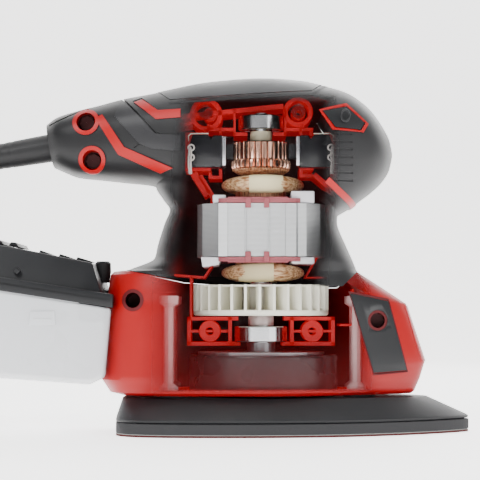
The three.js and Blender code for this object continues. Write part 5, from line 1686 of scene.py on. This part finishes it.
def build_stage():
    """Pale floor that sweeps up behind, soft lights, and the camera."""
    t = np.linspace(0, np.pi / 2, 16)[1:]
    back = np.concatenate([[FLOOR_FRONT, BEND_START], BEND_START + BEND_RADIUS * np.sin(t),
                           [BEND_START + BEND_RADIUS]])
    rise = np.concatenate([[0, 0], BEND_RADIUS * (1 - np.cos(t)), [WALL_TOP]])
    x = np.array([-SWEEP_HALF, SWEEP_HALF])
    grid = np.stack(np.broadcast_arrays(x[None, :], back[:, None], rise[:, None] - 0.05), axis=2)
    sweep = solid("floor", grid, grid_quads(len(back), 2, False), 60)
    sweep.data.materials.append(look("floor"))
    world = bpy.data.worlds.new("studio")
    bpy.context.scene.world = world
    world.use_nodes = True
    world.node_tree.nodes["Background"].inputs["Color"].default_value = (1, 1, 1, 1)
    world.node_tree.nodes["Background"].inputs["Strength"].default_value = WORLD_STRENGTH
    for name, settings in LIGHTS.items():
        area_light(name, *settings)
    lens = bpy.data.cameras.new("camera")
    lens.sensor_width = CAMERA_SENSOR
    lens.lens = CAMERA_LENS
    lens.clip_start, lens.clip_end = 0.05, 20
    camera = bpy.data.objects.new("camera", lens)
    bpy.context.scene.collection.objects.link(camera)
    camera.location = CAMERA_PLACE
    aim = Vector(CAMERA_AIM) - camera.location
    camera.rotation_euler = aim.to_track_quat("-Z", "Y").to_euler()
    bpy.context.scene.camera = camera


# ---- The add-on ----
class SANDER_OT_cord(bpy.types.Operator):
    """Mains lead: loose from the boot, then coiled flat beside the sander, to its plug."""

    bl_idname = "sander.cord"
    bl_label = "Mains lead"
    bl_options = {"REGISTER", "UNDO"}

    def execute(self, context):
        build_cord()
        return {"FINISHED"}


class SANDER_OT_boot(bpy.types.Operator):
    """Tapered strain relief with a flange and shallow grooves."""

    bl_idname = "sander.boot"
    bl_label = "Strain relief"
    bl_options = {"REGISTER", "UNDO"}

    def execute(self, context):
        build_boot()
        return {"FINISHED"}


class SANDER_OT_stage(bpy.types.Operator):
    """Pale floor that sweeps up behind, soft lights, and the camera."""

    bl_idname = "sander.stage"
    bl_label = "Stage and camera"
    bl_options = {"REGISTER", "UNDO"}

    def execute(self, context):
        build_stage()
        return {"FINISHED"}


class SANDER_OT_casing(bpy.types.Operator):
    """Red clamshell: the skirt in full view, and the shell inside the overmould."""

    bl_idname = "sander.casing"
    bl_label = "Clamshell"
    bl_options = {"REGISTER", "UNDO"}

    def execute(self, context):
        build_casing()
        return {"FINISHED"}


class SANDER_OT_grips(bpy.types.Operator):
    """Black overmould in two halves, and the palm pad on top."""

    bl_idname = "sander.grips"
    bl_label = "Overmould and palm pad"
    bl_options = {"REGISTER", "UNDO"}

    def execute(self, context):
        build_grips()
        return {"FINISHED"}


class SANDER_OT_trim(bpy.types.Operator):
    """Red stripes, seams and rims let into the overmould and the skirt."""

    bl_idname = "sander.trim"
    bl_label = "Red trim"
    bl_options = {"REGISTER", "UNDO"}

    def execute(self, context):
        build_trim()
        return {"FINISHED"}


class SANDER_OT_ribs(bpy.types.Operator):
    """Bosses, shelves and walls moulded inside the far half of the casing."""

    bl_idname = "sander.ribs"
    bl_label = "Ribs inside the far half"
    bl_options = {"REGISTER", "UNDO"}

    def execute(self, context):
        build_ribs()
        return {"FINISHED"}


class SANDER_OT_panels(bpy.types.Operator):
    """Dark inserts in the sides of the skirt with a thin red border, and the nose plate."""

    bl_idname = "sander.panels"
    bl_label = "Panels"
    bl_options = {"REGISTER", "UNDO"}

    def execute(self, context):
        build_panels()
        return {"FINISHED"}


class SANDER_OT_switch(bpy.types.Operator):
    """Slide switch: two charcoal caps on one bar, a raised ring on each cap, a red frame."""

    bl_idname = "sander.switch"
    bl_label = "Slide switch"
    bl_options = {"REGISTER", "UNDO"}

    def execute(self, context):
        build_switch()
        return {"FINISHED"}


class SANDER_OT_stator(bpy.types.Operator):
    """Stator stack: steps and grooves run down its faces, cut from one flat outline."""

    bl_idname = "sander.stator"
    bl_label = "Stator stack"
    bl_options = {"REGISTER", "UNDO"}

    def execute(self, context):
        build_stator()
        return {"FINISHED"}


class SANDER_OT_windings(bpy.types.Operator):
    """Field coils' end turns in strands, with pale tape, insulators and terminal blocks."""

    bl_idname = "sander.windings"
    bl_label = "Windings and insulators"
    bl_options = {"REGISTER", "UNDO"}

    def execute(self, context):
        build_windings()
        return {"FINISHED"}


class SANDER_OT_commutator(bpy.types.Operator):
    """Copper bars with slots between them and a hook under each bar."""

    bl_idname = "sander.commutator"
    bl_label = "Commutator"
    bl_options = {"REGISTER", "UNDO"}

    def execute(self, context):
        build_commutator()
        return {"FINISHED"}


class SANDER_OT_fan(bpy.types.Operator):
    """Cooling fan: a disc with a rim, upright blades near its edge and a stepped hub."""

    bl_idname = "sander.fan"
    bl_label = "Fan"
    bl_options = {"REGISTER", "UNDO"}

    def execute(self, context):
        build_fan()
        return {"FINISHED"}


class SANDER_OT_bearings(bpy.types.Operator):
    """The two ball bearings of the motor."""

    bl_idname = "sander.bearings"
    bl_label = "Ball bearings"
    bl_options = {"REGISTER", "UNDO"}

    def execute(self, context):
        build_bearings()
        return {"FINISHED"}


class SANDER_OT_shaft(bpy.types.Operator):
    """A sleeve on the shaft and the bush under the upper bearing."""

    bl_idname = "sander.shaft"
    bl_label = "Shaft parts"
    bl_options = {"REGISTER", "UNDO"}

    def execute(self, context):
        build_shaft_parts()
        return {"FINISHED"}


class SANDER_OT_brushes(bpy.types.Operator):
    """Brush holders: black mouldings with a silver mouth, terminals and a cream edge."""

    bl_idname = "sander.brushes"
    bl_label = "Brush holders"
    bl_options = {"REGISTER", "UNDO"}

    def execute(self, context):
        build_brushes()
        return {"FINISHED"}


class SANDER_OT_pad(bpy.types.Operator):
    """Backing plate with its bevel and ridge, foam, and the sanding sheet."""

    bl_idname = "sander.pad"
    bl_label = "Sanding pad"
    bl_options = {"REGISTER", "UNDO"}

    def execute(self, context):
        build_pad()
        return {"FINISHED"}


class SANDER_OT_drum(bpy.types.Operator):
    """The drum that carries the pad's bearing: turned, with fine level ridges."""

    bl_idname = "sander.drum"
    bl_label = "Drum"
    bl_options = {"REGISTER", "UNDO"}

    def execute(self, context):
        build_drum()
        return {"FINISHED"}


class SANDER_OT_dust_box(bpy.types.Operator):
    """Frosted dust box, its charcoal lid with ribs, clip line, latch and knob."""

    bl_idname = "sander.dust_box"
    bl_label = "Dust box"
    bl_options = {"REGISTER", "UNDO"}

    def execute(self, context):
        build_dust_box()
        return {"FINISHED"}


class SANDER_OT_finishes(bpy.types.Operator):
    """Gives each node of the frame that stays in view its finish."""

    bl_idname = "sander.finishes"
    bl_label = "Finishes of the frame"
    bl_options = {"REGISTER", "UNDO"}

    def execute(self, context):
        finish_nodes()
        return {"FINISHED"}


OPERATORS = (
    SANDER_OT_cord, SANDER_OT_boot, SANDER_OT_stage, SANDER_OT_casing, SANDER_OT_grips,
    SANDER_OT_trim, SANDER_OT_ribs, SANDER_OT_panels, SANDER_OT_switch, SANDER_OT_stator,
    SANDER_OT_windings, SANDER_OT_commutator, SANDER_OT_fan, SANDER_OT_bearings, SANDER_OT_shaft,
    SANDER_OT_brushes, SANDER_OT_pad, SANDER_OT_drum, SANDER_OT_dust_box, SANDER_OT_finishes,
)


class SANDER_PT_pieces(bpy.types.Panel):
    """Sidebar panel that lists every step."""

    bl_label = "Detail sander"
    bl_space_type = "VIEW_3D"
    bl_region_type = "UI"
    bl_category = "Sander"

    def draw(self, context):
        column = self.layout.column()
        for entry in OPERATORS:
            column.operator(entry.bl_idname, text=entry.bl_label)


CLASSES = (SanderSizes, SanderColours, *OPERATORS, SANDER_PT_pieces)


def register():
    """Adds the classes and the scene properties."""
    for entry in CLASSES:
        bpy.utils.register_class(entry)
    bpy.types.Scene.sander_sizes = bpy.props.PointerProperty(type=SanderSizes)
    bpy.types.Scene.sander_colours = bpy.props.PointerProperty(type=SanderColours)


def unregister():
    """Takes the classes and the properties away."""
    del bpy.types.Scene.sander_sizes
    del bpy.types.Scene.sander_colours
    for entry in reversed(CLASSES):
        bpy.utils.unregister_class(entry)


def main():
    """Runs every step in order."""
    register()
    for entry in OPERATORS:
        getattr(bpy.ops.sander, entry.bl_idname.split(".")[1])()


if __name__ == "__main__":
    main()
